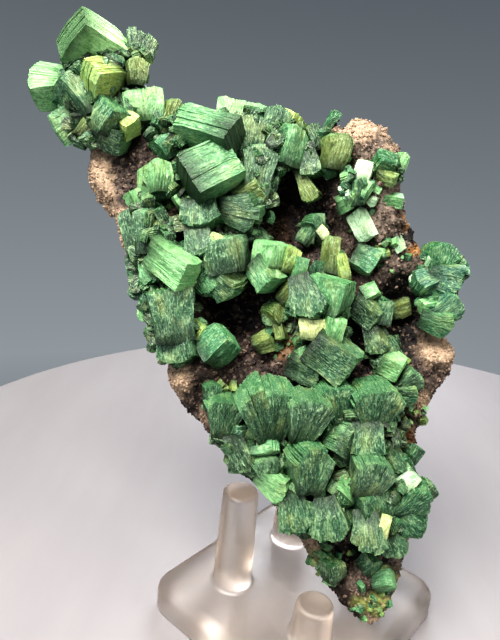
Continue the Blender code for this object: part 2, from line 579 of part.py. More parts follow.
def build_stand(parts, cutters):
    """Square base with rounded corners and four turned pegs, joined into one moulding."""
    shape = bmesh.new()
    size = Matrix.Diagonal((BASE_SIDE * MM, BASE_SIDE * MM, BASE_THICK * MM, 1.0))
    lift = Matrix.Translation((0.0, 0.0, BASE_THICK * MM / 2))
    turn = Matrix.Rotation(math.radians(BASE_YAW), 4, "Z")
    bmesh.ops.create_cube(shape, size=1.0, matrix=turn @ lift @ size)
    upright = [edge for edge in shape.edges
               if abs(edge.verts[0].co.z - edge.verts[1].co.z) > BASE_THICK * MM / 2]
    bmesh.ops.bevel(shape, geom=upright, offset=BASE_CORNER * MM, segments=4, profile=0.5,
                    affect="EDGES")
    top = [edge for edge in shape.edges
           if all(vert.co.z > BASE_THICK * MM * 0.99 for vert in edge.verts)]
    bmesh.ops.bevel(shape, geom=top, offset=BASE_ROUND * MM, segments=3, profile=0.5,
                    affect="EDGES")
    bottom = [edge for edge in shape.edges
              if all(vert.co.z < BASE_THICK * MM * 0.01 for vert in edge.verts)]
    bmesh.ops.bevel(shape, geom=bottom, offset=BASE_FOOT_EDGE * MM, segments=1, profile=0.5,
                    affect="EDGES")
    clear = make_material("clear_acrylic", "#efe9df", 0.08, transmission=1.0, ior=1.49)
    stand = object_from_bmesh("peg_stand", shape, parts, clear)
    for index, (angle, height) in enumerate(PEGS):
        peg = as_cutter(turned_peg(f"peg_{index}", height, cutters))
        peg.location = peg_place(angle)
        combine(stand, peg, "UNION")
    return stand


def peg_clearances(cutters):
    """The pegs, grown by the gap, that the specimen is kept clear of."""
    items = []
    for index, (angle, height) in enumerate(PEGS):
        peg = as_cutter(turned_peg(f"peg_clearance_{index}", height, cutters, grow=GAP))
        peg.location = peg_place(angle)
        items.append(peg)
    return items


def outline_slab(cutters):
    """The rock's outline as a filled flat curve with depth, made a closed mesh in the face frame."""
    curve = bpy.data.curves.new("rock_outline", "CURVE")
    curve.dimensions = "2D"
    curve.fill_mode = "BOTH"
    curve.extrude = ROCK_HALF_DEPTH - ROCK_ROUND
    curve.bevel_depth = ROCK_ROUND
    curve.bevel_resolution = 1
    curve.offset = -ROCK_ROUND
    spline = curve.splines.new("POLY")
    spline.points.add(len(ROCK_OUTLINE) - 1)
    for point, (u, v) in zip(spline.points, ROCK_OUTLINE):
        point.co = (u, v, 0.0, 1.0)
    spline.use_cyclic_u = True
    item = bpy.data.objects.new("rock_outline", curve)
    cutters.objects.link(item)
    mesh = evaluated_mesh(item)
    bpy.data.objects.remove(item, do_unlink=True)
    return mesh


def roughen(place):
    """How far the rock's surface moves out at a place, in mm: broad swells and small breaks."""
    shifts = Matrix.Identity(3) * ROCK_SEED
    return sum(noise.noise(place * rate + shift) * height
               for (rate, height), shift in zip(ROCK_SWELLS, shifts))


def press_hollows(place):
    """How deep the hollows in the face go at a place on its front."""
    depth = 0.0
    for u, v, radius_u, radius_v, deep in ROCK_HOLLOWS:
        reach = ((place.x - u) / radius_u) ** 2 + ((place.y - v) / radius_v) ** 2
        if reach < 1.0:
            depth = max(depth, deep * (1.0 - reach) ** 0.8)
    return depth


def build_rock(parts, cutters, clearances):
    """Outline slab and lobes, fused by a voxel remesh, roughened, hollowed and thinned at the tip."""
    shape = bmesh.new()
    shape.from_mesh(outline_slab(cutters))
    bmesh.ops.remove_doubles(shape, verts=shape.verts, dist=0.01)
    for vert in shape.verts:
        vert.co.z += ROCK_SHIFT
    for u, v, w, *radii in ROCK_LOBES:
        add_ellipsoid(shape, Vector((u, v, w)), radii, subdivisions=3)
    stone = make_material("brown_matrix_rock", "#4a3c35", 0.85)
    rock = object_from_bmesh("matrix_rock", shape, parts)
    remesh = rock.modifiers.new("fuse", "REMESH")
    remesh.mode = "VOXEL"
    remesh.voxel_size = ROCK_VOXEL
    apply_modifiers(rock)
    mesh = rock.data
    normals = [vert.normal.copy() for vert in mesh.vertices]
    for vert, normal in zip(mesh.vertices, normals):
        place = vert.co.copy()
        thin = TIP_TAPER + (1.0 - TIP_TAPER) * min(1.0, max(place.y, 0.0) / TIP_TAPER_HEIGHT)
        moved = place + normal * roughen(place) * (0.35 + 0.65 * thin)
        moved.z *= thin
        if normal.z > -0.2 and place.z > ROCK_SHIFT:
            moved.z -= press_hollows(place) * min(1.0, (place.z - ROCK_SHIFT) / 3.0)
        vert.co = moved
    second = rock.modifiers.new("even", "REMESH")
    second.mode = "VOXEL"
    second.voxel_size = ROCK_VOXEL
    thin_out = rock.modifiers.new("facet", "DECIMATE")
    faces = len(evaluated_mesh(rock).polygons)
    thin_out.ratio = min(1.0, ROCK_FACES / (faces * 2))
    apply_modifiers(rock)
    shape = bmesh.new()
    shape.from_mesh(rock.data)
    to_world(shape)
    for vert in shape.verts:
        vert.co.z = max(vert.co.z, (BASE_THICK + GAP) * MM)
    shape.to_mesh(rock.data)
    shape.free()
    for row in LONE_CRYSTALS:
        fuse(rock, book(row), cutters)
    for peg in clearances:
        combine(rock, peg, "DIFFERENCE")
    apply_modifiers(rock)
    tidy_faces(rock)
    rock.data.materials.append(stone)
    return rock


def rock_clearance(rock, cutters):
    """The rock grown by the gap, which every cluster is cut with."""
    mesh = evaluated_mesh(rock)
    item = bpy.data.objects.new("rock_clearance", mesh)
    cutters.objects.link(as_cutter(item))
    swell = item.modifiers.new("swell", "DISPLACE")
    swell.mid_level = 0.0
    swell.strength = (GAP + SPARE) * MM
    apply_modifiers(item)
    return item


def mound(root, grow=0.0):
    """A low root mass of intergrown crystal, closed and in the world's frame."""
    u, v, w, *radii = root
    shape = bmesh.new()
    add_ellipsoid(shape, seen(u, v, w), [radius + grow for radius in radii], subdivisions=1)
    to_world(shape)
    return shape


def grown_cluster(name, label, collection, cutters, grow=0.0):
    """The books of a cluster and the mounds that they rise from, joined into one solid."""
    first, *others = CLUSTER_ROOTS[name]
    cluster = object_from_bmesh(label, mound(first, grow), collection)
    fuse(cluster, [mound(root, grow) for root in others], cutters)
    for row in CLUSTERS[name]:
        fuse(cluster, book(row, grow), cutters)
    return cluster


def boxes_meet(one, other):
    spans = []
    for item in (one, other):
        corners = [vert.co for vert in item.data.vertices]
        spans.append([(min(co[axis] for co in corners), max(co[axis] for co in corners))
                      for axis in range(3)])
    return all(a[0] < b[1] and b[0] < a[1] for a, b in zip(*spans))


def build_clusters(parts, cutters, material, rock_cutter, clearances):
    """Every cluster, cut to the rock, to the pegs and to the clusters made before it."""
    before = []
    for name in CLUSTERS:
        cluster = grown_cluster(name, name, parts, cutters)
        for cutter in (rock_cutter, *clearances):
            combine(cluster, cutter, "DIFFERENCE")
        for other in before:
            if boxes_meet(cluster, other):
                combine(cluster, other, "DIFFERENCE")
        apply_modifiers(cluster)
        tidy_faces(cluster)
        cluster.data.materials.append(material)
        room = grown_cluster(name, f"{name}_clearance", cutters, cutters, grow=GAP + SPARE)
        before.append(as_cutter(room))


def main():
    clear_scene()
    parts = new_collection("metatorbernite_specimen")
    cutters = new_collection("cutters")
    build_stand(parts, cutters)
    clearances = peg_clearances(cutters)
    rock = build_rock(parts, cutters, clearances)
    rock_cutter = rock_clearance(rock, cutters)
    green = make_material("metatorbernite", "#5fa86c", 0.4)
    build_clusters(parts, cutters, green, rock_cutter, clearances)


main()
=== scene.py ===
"""Looks of the metatorbernite specimen in its clear peg stand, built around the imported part.

Sizes are in mm unless said otherwise. Places on the specimen are in the face frame that part.py
uses too: u to the right along the showy face, v up it, w out of it, with the rock's tip at zero.
"""

import math
from functools import partial

import bmesh
import bpy
import numpy as np
from mathutils import Matrix, Vector, noise
from mathutils.bvhtree import BVHTree


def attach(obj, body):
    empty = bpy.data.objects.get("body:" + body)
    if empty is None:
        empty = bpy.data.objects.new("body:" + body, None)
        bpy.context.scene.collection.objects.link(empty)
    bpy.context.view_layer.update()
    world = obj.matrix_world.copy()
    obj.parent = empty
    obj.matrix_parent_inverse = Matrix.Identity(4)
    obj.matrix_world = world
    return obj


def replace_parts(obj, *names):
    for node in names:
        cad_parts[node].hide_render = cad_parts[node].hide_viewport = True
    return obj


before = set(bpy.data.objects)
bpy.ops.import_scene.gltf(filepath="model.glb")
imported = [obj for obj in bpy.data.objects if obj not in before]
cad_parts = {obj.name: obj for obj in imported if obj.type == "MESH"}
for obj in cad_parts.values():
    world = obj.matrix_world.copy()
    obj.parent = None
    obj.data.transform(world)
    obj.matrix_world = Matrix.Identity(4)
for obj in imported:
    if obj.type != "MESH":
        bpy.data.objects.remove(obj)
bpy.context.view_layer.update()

# The camera stands close to the specimen, level with its upper half, and looks down at it a little.
# Its place and turn were fitted to the corners of the stand's base and to its pegs.
MM = 0.001
CAMERA_PLACE = (-13.3, -84.4, 79.4)
LEAN_BACK = 16.66              # the camera looks straight at the leaning face, degrees
ROLL = 5.51
SENSOR_HEIGHT = 36.0
LENS = 31.5


def leaning_axes():
    """Right, up and outward directions of the leaning face, which are the camera's too."""
    pitch, roll = math.radians(LEAN_BACK), math.radians(ROLL)
    level = Vector((1.0, 0.0, 0.0))
    up = Vector((0.0, math.sin(pitch), math.cos(pitch)))
    out = Vector((0.0, -math.cos(pitch), math.sin(pitch)))
    across = level * math.cos(roll) + up * math.sin(roll)
    along = up * math.cos(roll) - level * math.sin(roll)
    return Matrix((across, along, out)).transposed()


def add_object(name, data):
    item = bpy.data.objects.new(name, data)
    bpy.context.scene.collection.objects.link(item)
    return item


camera = add_object("camera", bpy.data.cameras.new("camera"))
camera.data.sensor_fit = "VERTICAL"
camera.data.sensor_height = SENSOR_HEIGHT
camera.data.lens = LENS
camera.data.clip_start = 0.005
camera.matrix_world = Matrix.Translation(Vector(CAMERA_PLACE) * MM) @ leaning_axes().to_4x4()
bpy.context.scene.camera = camera


# The floor is a round pale turntable, 257 mm across, of painted board with faint scuffs. The
# backdrop is dull grey card, so far off that it shows as a plain tone, lighter towards the floor.
FLOOR_CENTRE = (25.2, 28.3)
FLOOR_RADIUS = 128.6
FLOOR_THICK = 6.0
FLOOR_DROP = 0.1               # keeps the floor from touching the clear base face to face
FLOOR_EDGE = 1.5
SCUFF_SIZE = 26.0              # across a scuff, which is about five times as long
SCUFF_STRETCH = 0.22
SCUFF_TURN = 0.5               # radians


def linear(code):
    """An sRGB hex colour as linear RGBA."""
    values = []
    for start in (1, 3, 5):
        level = int(code[start:start + 2], 16) / 255.0
        values.append(level / 12.92 if level < 0.04045 else ((level + 0.055) / 1.055) ** 2.4)
    return (*values, 1.0)


def set_inputs(node, inputs):
    """Give each input a value, the socket that feeds it, or a node whose first output does."""
    for socket, value in inputs.items():
        if isinstance(value, bpy.types.Node):
            value = value.outputs[0]
        if isinstance(value, bpy.types.NodeSocket):
            node.id_data.links.new(value, node.inputs[socket])
        else:
            node.inputs[socket].default_value = value


def add_node(tree, kind, inputs=None, **settings):
    """Add a node with its settings and its inputs, as set_inputs takes them."""
    node = tree.nodes.new(kind)
    for name, value in settings.items():
        setattr(node, name, value)
    set_inputs(node, inputs or {})
    return node


def new_material(name, roughness=0.5, ior=1.5):
    """A material with only its shader: returns it, add_node for its tree and the shader."""
    material = bpy.data.materials.new(name)
    material.use_nodes = True
    shader = material.node_tree.nodes["Principled BSDF"]
    set_inputs(shader, {"Roughness": roughness, "IOR": ior})
    return material, partial(add_node, material.node_tree), shader


def painted(add, colour, *layers):
    """Lay paints over a colour. Each layer is a pattern, the two values of it between which the
    layer fades in, its strength, how it blends, and its paint. A colour is a hex code or a socket."""
    if isinstance(colour, str):
        colour = linear(colour)
    for pattern, start, full, strength, blend, paint in layers:
        share = add("ShaderNodeMapRange",
                    {"Value": pattern, "From Min": start, "From Max": full, "To Max": strength})
        paint = linear(paint) if isinstance(paint, str) else paint
        colour = add("ShaderNodeMix", {0: share, 6: colour, 7: paint},
                     data_type="RGBA", blend_type=blend).outputs[2]
    return colour


def object_from_bmesh(name, shape):
    mesh = bpy.data.meshes.new(name)
    shape.to_mesh(mesh)
    shape.free()
    return add_object(name, mesh)


def painted_board():
    """Matt white paint on board: nearly even, with long faint scuffs."""
    material, add, shader = new_material("matt_white_painted_board", roughness=0.55)
    place = add("ShaderNodeTexCoord").outputs["Object"]
    stretched = add("ShaderNodeMapping",
                    {"Vector": place, "Scale": (1.0, SCUFF_STRETCH, 1.0),
                     "Rotation": (0.0, 0.0, SCUFF_TURN)})
    scuffs = add("ShaderNodeTexNoise",
                 {"Vector": stretched, "Scale": 1.0 / (SCUFF_SIZE * MM), "Detail": 8.0,
                  "Roughness": 0.65})
    colour = painted(add, "#8a8789", (scuffs, 0.3, 0.7, 1.0, "MIX", "#918f90"))
    set_inputs(shader, {"Base Color": colour})
    return material


def round_edges(shape, chosen, radius, segments):
    """Round the edges that chosen says yes to, given the heights of their two ends in mm."""
    edges = [edge for edge in shape.edges if chosen(*(vert.co.z / MM for vert in edge.verts))]
    bmesh.ops.bevel(shape, geom=edges, offset=radius * MM, segments=segments, profile=0.5,
                    affect="EDGES")


def make_floor():
    shape = bmesh.new()
    lift = Matrix.Translation(Vector((*FLOOR_CENTRE, -FLOOR_THICK / 2 - FLOOR_DROP)) * MM)
    bmesh.ops.create_cone(shape, cap_ends=True, segments=128, radius1=FLOOR_RADIUS * MM,
                          radius2=FLOOR_RADIUS * MM, depth=FLOOR_THICK * MM, matrix=lift)
    round_edges(shape, lambda one, other: min(one, other) > -FLOOR_EDGE, FLOOR_EDGE, 3)
    return object_from_bmesh("turntable", shape)


floor = make_floor()
floor.data.materials.append(painted_board())

world = bpy.data.worlds.new("grey_card_backdrop")
world.use_nodes = True
bpy.context.scene.world = world
add = partial(add_node, world.node_tree)
direction = add("ShaderNodeTexCoord").outputs["Generated"]
height = add("ShaderNodeSeparateXYZ", {"Vector": direction}).outputs["Z"]
card = painted(add, "#70777b", (height, -0.5, -0.35, 1.0, "MIX", "#8a8f93"),
               (height, -0.35, 0.0, 1.0, "MIX", "#72787c"), (height, 0.0, 0.24, 1.0, "MIX", "#60666b"),
               (height, 0.24, 0.4, 1.0, "MIX", "#404345"))
set_inputs(world.node_tree.nodes["Background"], {"Color": card})


# The light is a large softbox overhead, in front and a little to the left, with weaker ones in
# front, at the right and behind. The picture has plain sRGB tones with strong contrast, as the
# photograph has.
bpy.context.scene.view_settings.view_transform = "Standard"
bpy.context.scene.view_settings.look = "High Contrast"
SOFTBOXES = (
    # name, place, the place it faces, side, power in watts, tint
    ("overhead_softbox", (-90.0, -130.0, 300.0), (-8.0, 0.0, 45.0), 170.0, 2.0, "#fffaf4"),
    ("front_fill", (-190.0, -260.0, 150.0), (-8.0, 0.0, 50.0), 160.0, 0.3, "#f2f6ff"),
    ("right_fill", (260.0, -120.0, 170.0), (0.0, 0.0, 50.0), 160.0, 0.52, "#fff8f0"),
    ("back_fill", (60.0, 300.0, 220.0), (0.0, 0.0, 50.0), 180.0, 0.8, "#f4f7ff"),
)
for name, place, target, side, power, tint in SOFTBOXES:
    lamp = bpy.data.lights.new(name, "AREA")
    lamp.shape = "SQUARE"
    lamp.size = side * MM
    lamp.energy = power
    lamp.color = linear(tint)[:3]
    softbox = add_object(name, lamp)
    softbox.location = Vector(place) * MM
    aim = Vector(target) - Vector(place)
    softbox.rotation_euler = aim.to_track_quat("-Z", "Y").to_euler()
    softbox.visible_camera = False


# The display stand is one injection moulding in clear acrylic, a little hazy and warm with age:
# a square base with soft corners and four pegs, two tall at the back and two short in front.
BASE_SIDE = 38.0
BASE_THICK = 5.7
BASE_CORNER = 4.0
BASE_ROUND = 2.2
BASE_FOOT_EDGE = 0.5
BASE_YAW = 51.0
PEG_RING = 12.1
PEG_FOOT_RADIUS = 3.45
PEG_TOP_RADIUS = 3.05
PEG_FILLET = 0.7
PEG_EDGE = 0.8
PEG_SUNK = 1.0                 # how far a peg goes into the base, where the two are one
PEG_SEGMENTS = 64
PEGS = ((186.0, 18.6), (96.0, 18.6), (276.0, 6.6), (6.0, 6.6))      # direction in degrees, height
FLOW_SIZE = 7.0                # of the soft waves that moulding leaves in the surface
FLOW_DEPTH = 0.4


def peg_profile(height, steps=6):
    """Radius and height from the rounded top edge down to the fillet at the foot."""
    points = [(0.0, height)]
    for across, level, radius, start in (
            (PEG_TOP_RADIUS - PEG_EDGE, height - PEG_EDGE, PEG_EDGE, 90.0),
            (PEG_FOOT_RADIUS + PEG_FILLET, PEG_FILLET, -PEG_FILLET, 0.0)):
        for step in range(steps + 1):
            angle = math.radians(abs(start - 90.0 * step / steps))
            points.append((across + radius * math.cos(angle), level + radius * math.sin(angle)))
    points.append((PEG_FOOT_RADIUS + PEG_FILLET, -PEG_SUNK))
    points.append((0.0, -PEG_SUNK))
    return points


def close_seams(shape, distance):
    """Join points this close and turn the faces outwards."""
    bmesh.ops.remove_doubles(shape, verts=shape.verts, dist=distance)
    bmesh.ops.recalc_face_normals(shape, faces=shape.faces)


def turned_peg(angle, height):
    shape = bmesh.new()
    verts = [shape.verts.new((radius * MM, 0.0, level * MM)) for radius, level in peg_profile(height)]
    edges = [shape.edges.new(pair) for pair in zip(verts, verts[1:])]
    bmesh.ops.spin(shape, geom=verts + edges, axis=(0.0, 0.0, 1.0), cent=(0.0, 0.0, 0.0),
                   angle=math.tau, steps=PEG_SEGMENTS)
    close_seams(shape, 0.02 * MM)
    turn = math.radians(angle)
    bmesh.ops.translate(shape, verts=shape.verts, vec=Vector((
        PEG_RING * math.cos(turn), PEG_RING * math.sin(turn), BASE_THICK)) * MM)
    return object_from_bmesh("peg", shape)


def use_modifiers(item):
    """Keep what the modifiers give as the object's plain mesh."""
    bpy.context.view_layer.update()
    depsgraph = bpy.context.evaluated_depsgraph_get()
    mesh = bpy.data.meshes.new_from_object(item.evaluated_get(depsgraph))
    item.modifiers.clear()
    item.data = mesh


def moulded_base():
    shape = bmesh.new()
    size = Matrix.Diagonal((BASE_SIDE * MM, BASE_SIDE * MM, BASE_THICK * MM, 1.0))
    lift = Matrix.Translation((0.0, 0.0, BASE_THICK * MM / 2))
    turn = Matrix.Rotation(math.radians(BASE_YAW), 4, "Z")
    bmesh.ops.create_cube(shape, size=1.0, matrix=turn @ lift @ size)
    middle = BASE_THICK / 2
    round_edges(shape, lambda one, other: abs(one - other) > middle, BASE_CORNER, 12)
    round_edges(shape, lambda one, other: one > middle and other > middle, BASE_ROUND, 8)
    round_edges(shape, lambda one, other: one < middle and other < middle, BASE_FOOT_EDGE, 3)
    return object_from_bmesh("clear_peg_stand", shape)


def clear_acrylic():
    """Moulded acrylic: clear right through, with a hazed skin, so edges glow and depths go tan."""
    material, add, shader = new_material("moulded_clear_acrylic", ior=1.49)
    place = add("ShaderNodeTexCoord").outputs["Object"]
    flow = add("ShaderNodeTexNoise", {"Vector": place, "Scale": 1.0 / (FLOW_SIZE * MM), "Detail": 2.0})
    haze = add("ShaderNodeMapRange", {"Value": flow, "From Min": 0.3, "From Max": 0.7,
                                      "To Min": 0.3, "To Max": 0.44})
    ripple = add("ShaderNodeBump", {"Height": flow, "Strength": 0.25, "Distance": FLOW_DEPTH * MM})
    set_inputs(shader, {"Base Color": linear("#ffffff"), "Transmission Weight": 1.0,
                        "Roughness": haze, "Normal": ripple})
    absorption = add("ShaderNodeVolumeAbsorption", {"Color": linear("#e8c28e"), "Density": 24.0})
    set_inputs(material.node_tree.nodes["Material Output"], {"Volume": absorption})
    return material


stand = moulded_base()
for angle, height in PEGS:
    peg = turned_peg(angle, height)
    union = stand.modifiers.new("union", "BOOLEAN")
    union.operation = "UNION"
    union.solver = "EXACT"
    union.object = peg
    use_modifiers(stand)
    bpy.data.objects.remove(peg, do_unlink=True)
stand.data.shade_smooth()
stand.data.set_sharp_from_angle(angle=math.radians(35.0))
stand.data.materials.append(clear_acrylic())
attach(stand, "root")
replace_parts(stand, "peg_stand")


# The matrix is one broken piece of brown, quartz-rich vein rock. It is rough all over, hollowed
# between the crystals, rusty in places, and tan where fresh clay shows. Its black patches are partly
# dark stain and partly painted shade in the deep hollows.
TIP = (11.5, -9.3, 6.0)        # where the rock's lower tip stands
EYE = (-20.0, 51.2, 93.1)      # the camera's place in the face frame
ROCK_VOXEL = 0.5
ROCK_SMOOTHING = 6
ROCK_SWELLS = ((0.35, 0.6), (0.9, 0.4), (2.1, 0.2))     # swells per mm, height in mm
ROCK_CLEAR = 0.2               # keeps the roughness this far off the stand's base
LONE_SINK = 0.9                # the rock draws back under the crystals that grow straight on it,
LONE_REACH = 3.4               # as far as this from their middles
FACE = leaning_axes().to_4x4()
FACE.translation = Vector(TIP)

# Stains, bare patches and painted shade by kind: centre u, v, radii along u, v, strength. The tan
# is clay on the arm, the lobes and the tip, the grey bare rock, the crust yellow-green on the tip,
# and the black partly dark stain and partly painted shade in the deep hollows.
ROCK_PATCHES = {
    "tan": (
        (-46.0, 76.6, 3.0, 6.0, 1.0), (-44.4, 70.6, 2.4, 3.6, 0.8), (-41.4, 65.0, 2.4, 3.8, 1.0),
        (-39.2, 58.2, 2.2, 5.0, 1.0), (-32.4, 41.4, 3.0, 3.6, 1.0), (-26.0, 35.0, 2.4, 2.0, 0.6),
        (-2.2, 81.8, 4.4, 2.4, 1.0), (3.4, 77.4, 2.0, 2.6, 0.7), (11.0, 46.4, 3.4, 3.4, 1.0),
        (7.4, 37.4, 2.2, 2.0, 0.9), (5.2, 14.0, 2.0, 2.4, 0.8), (-10.4, 13.6, 2.6, 2.6, 0.7),
        (0.2, 0.8, 1.4, 1.0, 0.8)),
    "grey": (
        (-1.4, 8.2, 2.4, 2.4, 0.8), (3.8, 9.8, 1.6, 1.8, 0.8), (0.6, 70.6, 6.0, 13.0, 1.0),
        (8.6, 60.0, 4.0, 4.0, 0.5)),
    "rust": (
        (6.4, 67.4, 1.0, 2.2, 1.0), (7.2, 62.8, 1.2, 1.2, 0.9), (-14.6, 66.4, 1.6, 3.0, 0.6),
        (-13.8, 46.6, 2.6, 2.2, 0.35), (5.6, 30.6, 1.8, 3.4, 0.5)),
    # the black patches: partly dark stain, partly painted shade in the deep hollows
    "black": (
        (-22.0, 53.4, 7.0, 6.0, 1.0), (-12.6, 70.0, 6.6, 10.0, 0.8), (4.6, 51.4, 5.0, 7.0, 1.0),
        (-1.6, 46.6, 4.6, 4.6, 1.0), (6.2, 64.6, 1.6, 1.8, 1.0), (-1.6, 12.6, 4.6, 2.4, 0.9),
        (-5.0, 27.0, 8.0, 10.0, 0.6)),
    "crust": (
        (0.4, 4.2, 3.2, 1.5, 0.9), (-8.0, 10.4, 2.2, 3.0, 0.6), (3.4, 7.6, 1.8, 2.0, 0.6),
        (-14.4, 17.0, 1.6, 1.8, 0.5)),
}

# Small crystals that sit alone on the rock, written as the clusters' books are below.
LONE_CRYSTALS = (
    (-0.9, 61.0, 3.0, 4.4, 2.6, 4.2, -30, 5, 84, 0, "bright"),
    (-1.2, 66.8, 3.8, 5.2, 2.2, 3.0, -64, 5, 45, 0, "white"),
    (3.7, 70.8, 2.8, 3.6, 1.6, 2.8, -6, 5, 30, 0, "pale"),
    (4.6, 63.6, 1.6, 2.6, 1.4, 2.4, -60, 10, 40, 0, "white"),
    (-17.6, 47.2, 1.0, 3.2, 2.4, 3.2, 24, 10, 30, 0, "olive"),
    (-6.6, 83.8, -0.4, 4.4, 1.0, 2.4, 55, 0, 20, 0, "bright"),
    (-6.2, 9.6, 1.6, 3.4, 2.8, 3.2, 100, 10, 30, 0, "dark"),
    (-0.2, 10.6, 0.6, 3.0, 2.4, 3.0, 60, 15, 40, 0, "mid"),
    (2.2, 7.6, 1.2, 3.4, 2.2, 3.0, 18, 15, 40, 0, "light"),
    (7.0, 28.6, 1.6, 3.4, 1.6, 2.6, 60, 10, 30, 0, "teal"),
    (4.6, 53.2, -3.2, 3.8, 2.4, 3.6, 18, 10, 30, 0, "olive"),
)
PATCH_REACH = 1.25             # a patch is gone at this share of its radii,
PATCH_EDGE = 0.5               # and full this much before it
PATCH_RAGGED = ((0.55, 0.55), (1.7, 0.3))      # swells of its edge per mm, their share
PATCH_DEPTH = 4.0              # the patches thin out from this far behind the face,
PATCH_FADE = 5.0               # over this far
# Stains of the back: by kind, where its noise is read and how high it must be to show.
BACK_STAINS = {"tan": (3.0, 0.12), "grey": (11.0, -0.02), "rust": (27.0, 0.3)}
BACK_STAIN_RATE = 0.09         # swells per mm
BACK_STAIN_RAGGED = 0.25
BACK_STAIN_EDGE = 0.12


def seen(u, v, w):
    """The place in the face frame, w above the face, that lines up with u, v seen from the eye."""
    share = (EYE[2] - w) / EYE[2]
    return Vector((EYE[0] + (u - EYE[0]) * share, EYE[1] + (v - EYE[1]) * share, w))


def merged_copy(name, node):
    """A copy of a CAD node's loose triangles as one joined mesh."""
    shape = bmesh.new()
    shape.from_mesh(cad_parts[node].data)
    close_seams(shape, 0.001 * MM)
    return object_from_bmesh(name, shape)


def patch_strength(place, kind):
    """How far a patch of this kind covers a place, from 0 to 1, with a ragged edge."""
    ragged = sum(noise.noise(place * rate) * share for rate, share in PATCH_RAGGED)
    behind = max(0.0, -PATCH_DEPTH - place.z) / PATCH_FADE
    strength = 0.0
    for u, v, radius_u, radius_v, full in ROCK_PATCHES[kind]:
        reach = math.hypot((place.x - u) / radius_u, (place.y - v) / radius_v, behind)
        inside = (PATCH_REACH + ragged - reach) / PATCH_EDGE
        strength = max(strength, full * min(1.0, inside))
    if kind in BACK_STAINS:
        start, least = BACK_STAINS[kind]
        swell = noise.noise(place * BACK_STAIN_RATE + Vector((start, 0.0, 0.0)))
        inside = (swell + ragged * BACK_STAIN_RAGGED - least) / BACK_STAIN_EDGE
        strength = max(strength, min(1.0, behind) * min(1.0, inside))
    return strength


def rough_rock():
    rock = merged_copy("brown_matrix_rock", "matrix_rock")
    remesh = rock.modifiers.new("remesh", "REMESH")
    remesh.mode = "VOXEL"
    remesh.voxel_size = ROCK_VOXEL * MM
    smooth = rock.modifiers.new("smooth", "SMOOTH")
    smooth.iterations = ROCK_SMOOTHING
    use_modifiers(rock)
    mesh = rock.data
    to_face = FACE.inverted()
    normals = [vert.normal.copy() for vert in mesh.vertices]
    strengths = {kind: [] for kind in ROCK_PATCHES}
    lone_places = [seen(*row[:3]) for row in LONE_CRYSTALS]
    lowest = (BASE_THICK + ROCK_CLEAR) * MM
    for vert, normal in zip(mesh.vertices, normals):
        place = to_face @ (vert.co / MM)
        lift = sum(noise.noise(place * rate + Vector((rate, 7.0, 0.0))) * height
                   for rate, height in ROCK_SWELLS)
        if min((place - lone).length for lone in lone_places) < LONE_REACH:
            lift -= LONE_SINK
        for kind, values in strengths.items():
            values.append(patch_strength(place, kind))
        moved = vert.co + normal * lift * MM
        moved.z = max(moved.z, lowest)
        vert.co = moved
    for kind, values in strengths.items():
        mesh.attributes.new(kind, "FLOAT", "POINT").data.foreach_set("value", values)
    mesh.shade_smooth()
    return rock


def vein_rock(name, sparkle):
    """Quartz-rich vein rock: dark brown and gritty, tan where clay is bare, rusty along seams.
    The druse has the same colours but is brighter grain by grain and glassier."""
    material, add, shader = new_material(name, ior=1.54)
    place = add("ShaderNodeTexCoord").outputs["Object"]
    grit, blotch, fine = (
        add("ShaderNodeTexNoise",
            {"Vector": place, "Scale": 1.0 / (size * MM), "Detail": detail, "Roughness": 0.7})
        for size, detail in ((0.5, 6.0), (3.2, 4.0), (0.28, 5.0)))
    cells = add("ShaderNodeTexVoronoi", {"Vector": place, "Scale": 1.0 / (0.55 * MM)})
    grain = add("ShaderNodeSeparateColor", {"Color": cells.outputs["Color"]})
    colour = painted(add, "#120d0b", (grit, 0.3, 0.5, 1.0, "MIX", "#2e231d"),
                     (grit, 0.5, 0.72, 1.0, "MIX", "#54433a"),
                     (blotch, 0.45, 0.65, 0.4, "MIX", "#44352d"))
    for kind, low, middle, high in (
            ("grey", "#2c241f", "#62564c", "#a09285"), ("tan", "#5f5145", "#a8927b", "#cdbba5"),
            ("rust", "#573619", "#9f713c", "#c9a26c"), ("crust", "#4c4f31", "#8b9355", "#bba678"),
            # black: partly dark stain, partly painted shade in the hollows
            ("black", "#060404", "#0f0b0a", "#1d1613")):
        strength = add("ShaderNodeAttribute", attribute_name=kind).outputs["Fac"]
        shade = painted(add, low, (grit, 0.28, 0.52, 1.0, "MIX", middle),
                        (grit, 0.52, 0.75, 1.0, "MIX", high))
        colour = painted(add, colour, (strength, 0.0, 1.0, 1.0, "MIX", shade))
    colour = painted(add, colour, (grain.outputs["Red"], 0.72, 0.95, sparkle, "MIX", "#a89382"))
    shine = add("ShaderNodeMapRange",
                {"Value": grain.outputs["Green"], "From Min": 0.1, "From Max": 0.9,
                 "To Min": 0.8, "To Max": 0.8 - 0.5 * sparkle})
    bump = add("ShaderNodeBump", {"Height": fine, "Strength": 0.8, "Distance": 0.2 * MM})
    set_inputs(shader, {"Base Color": colour, "Roughness": shine, "Normal": bump})
    return material


matrix_rock = rough_rock()
matrix_rock.data.materials.append(vein_rock("brown_vein_rock", sparkle=0.3))
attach(matrix_rock, "root")
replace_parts(matrix_rock, "matrix_rock")


# A sugary druse of small quartz crystals grows all over the rock. Each grain is a tiny doubly
# pointed crystal, sunk in the surface at a chance angle.
DRUSE_PER_MM2 = 1.9
GRAIN_SIZE = (0.16, 0.42)      # a grain's radius
GRAIN_LEAN = 0.9               # how far grains lean either way, in radians
DRUSE_SEED = 4


def grain_prototype():
    shape = bmesh.new()
    for bottom, top, depth, middle in ((1.0, 0.0, 1.2, 0.6), (0.0, 1.0, 0.5, -0.25)):
        bmesh.ops.create_cone(shape, cap_ends=False, segments=5, radius1=bottom, radius2=top,
                              depth=depth, matrix=Matrix.Translation((0.0, 0.0, middle)))
    close_seams(shape, 0.001)
    return object_from_bmesh("quartz_grain", shape)


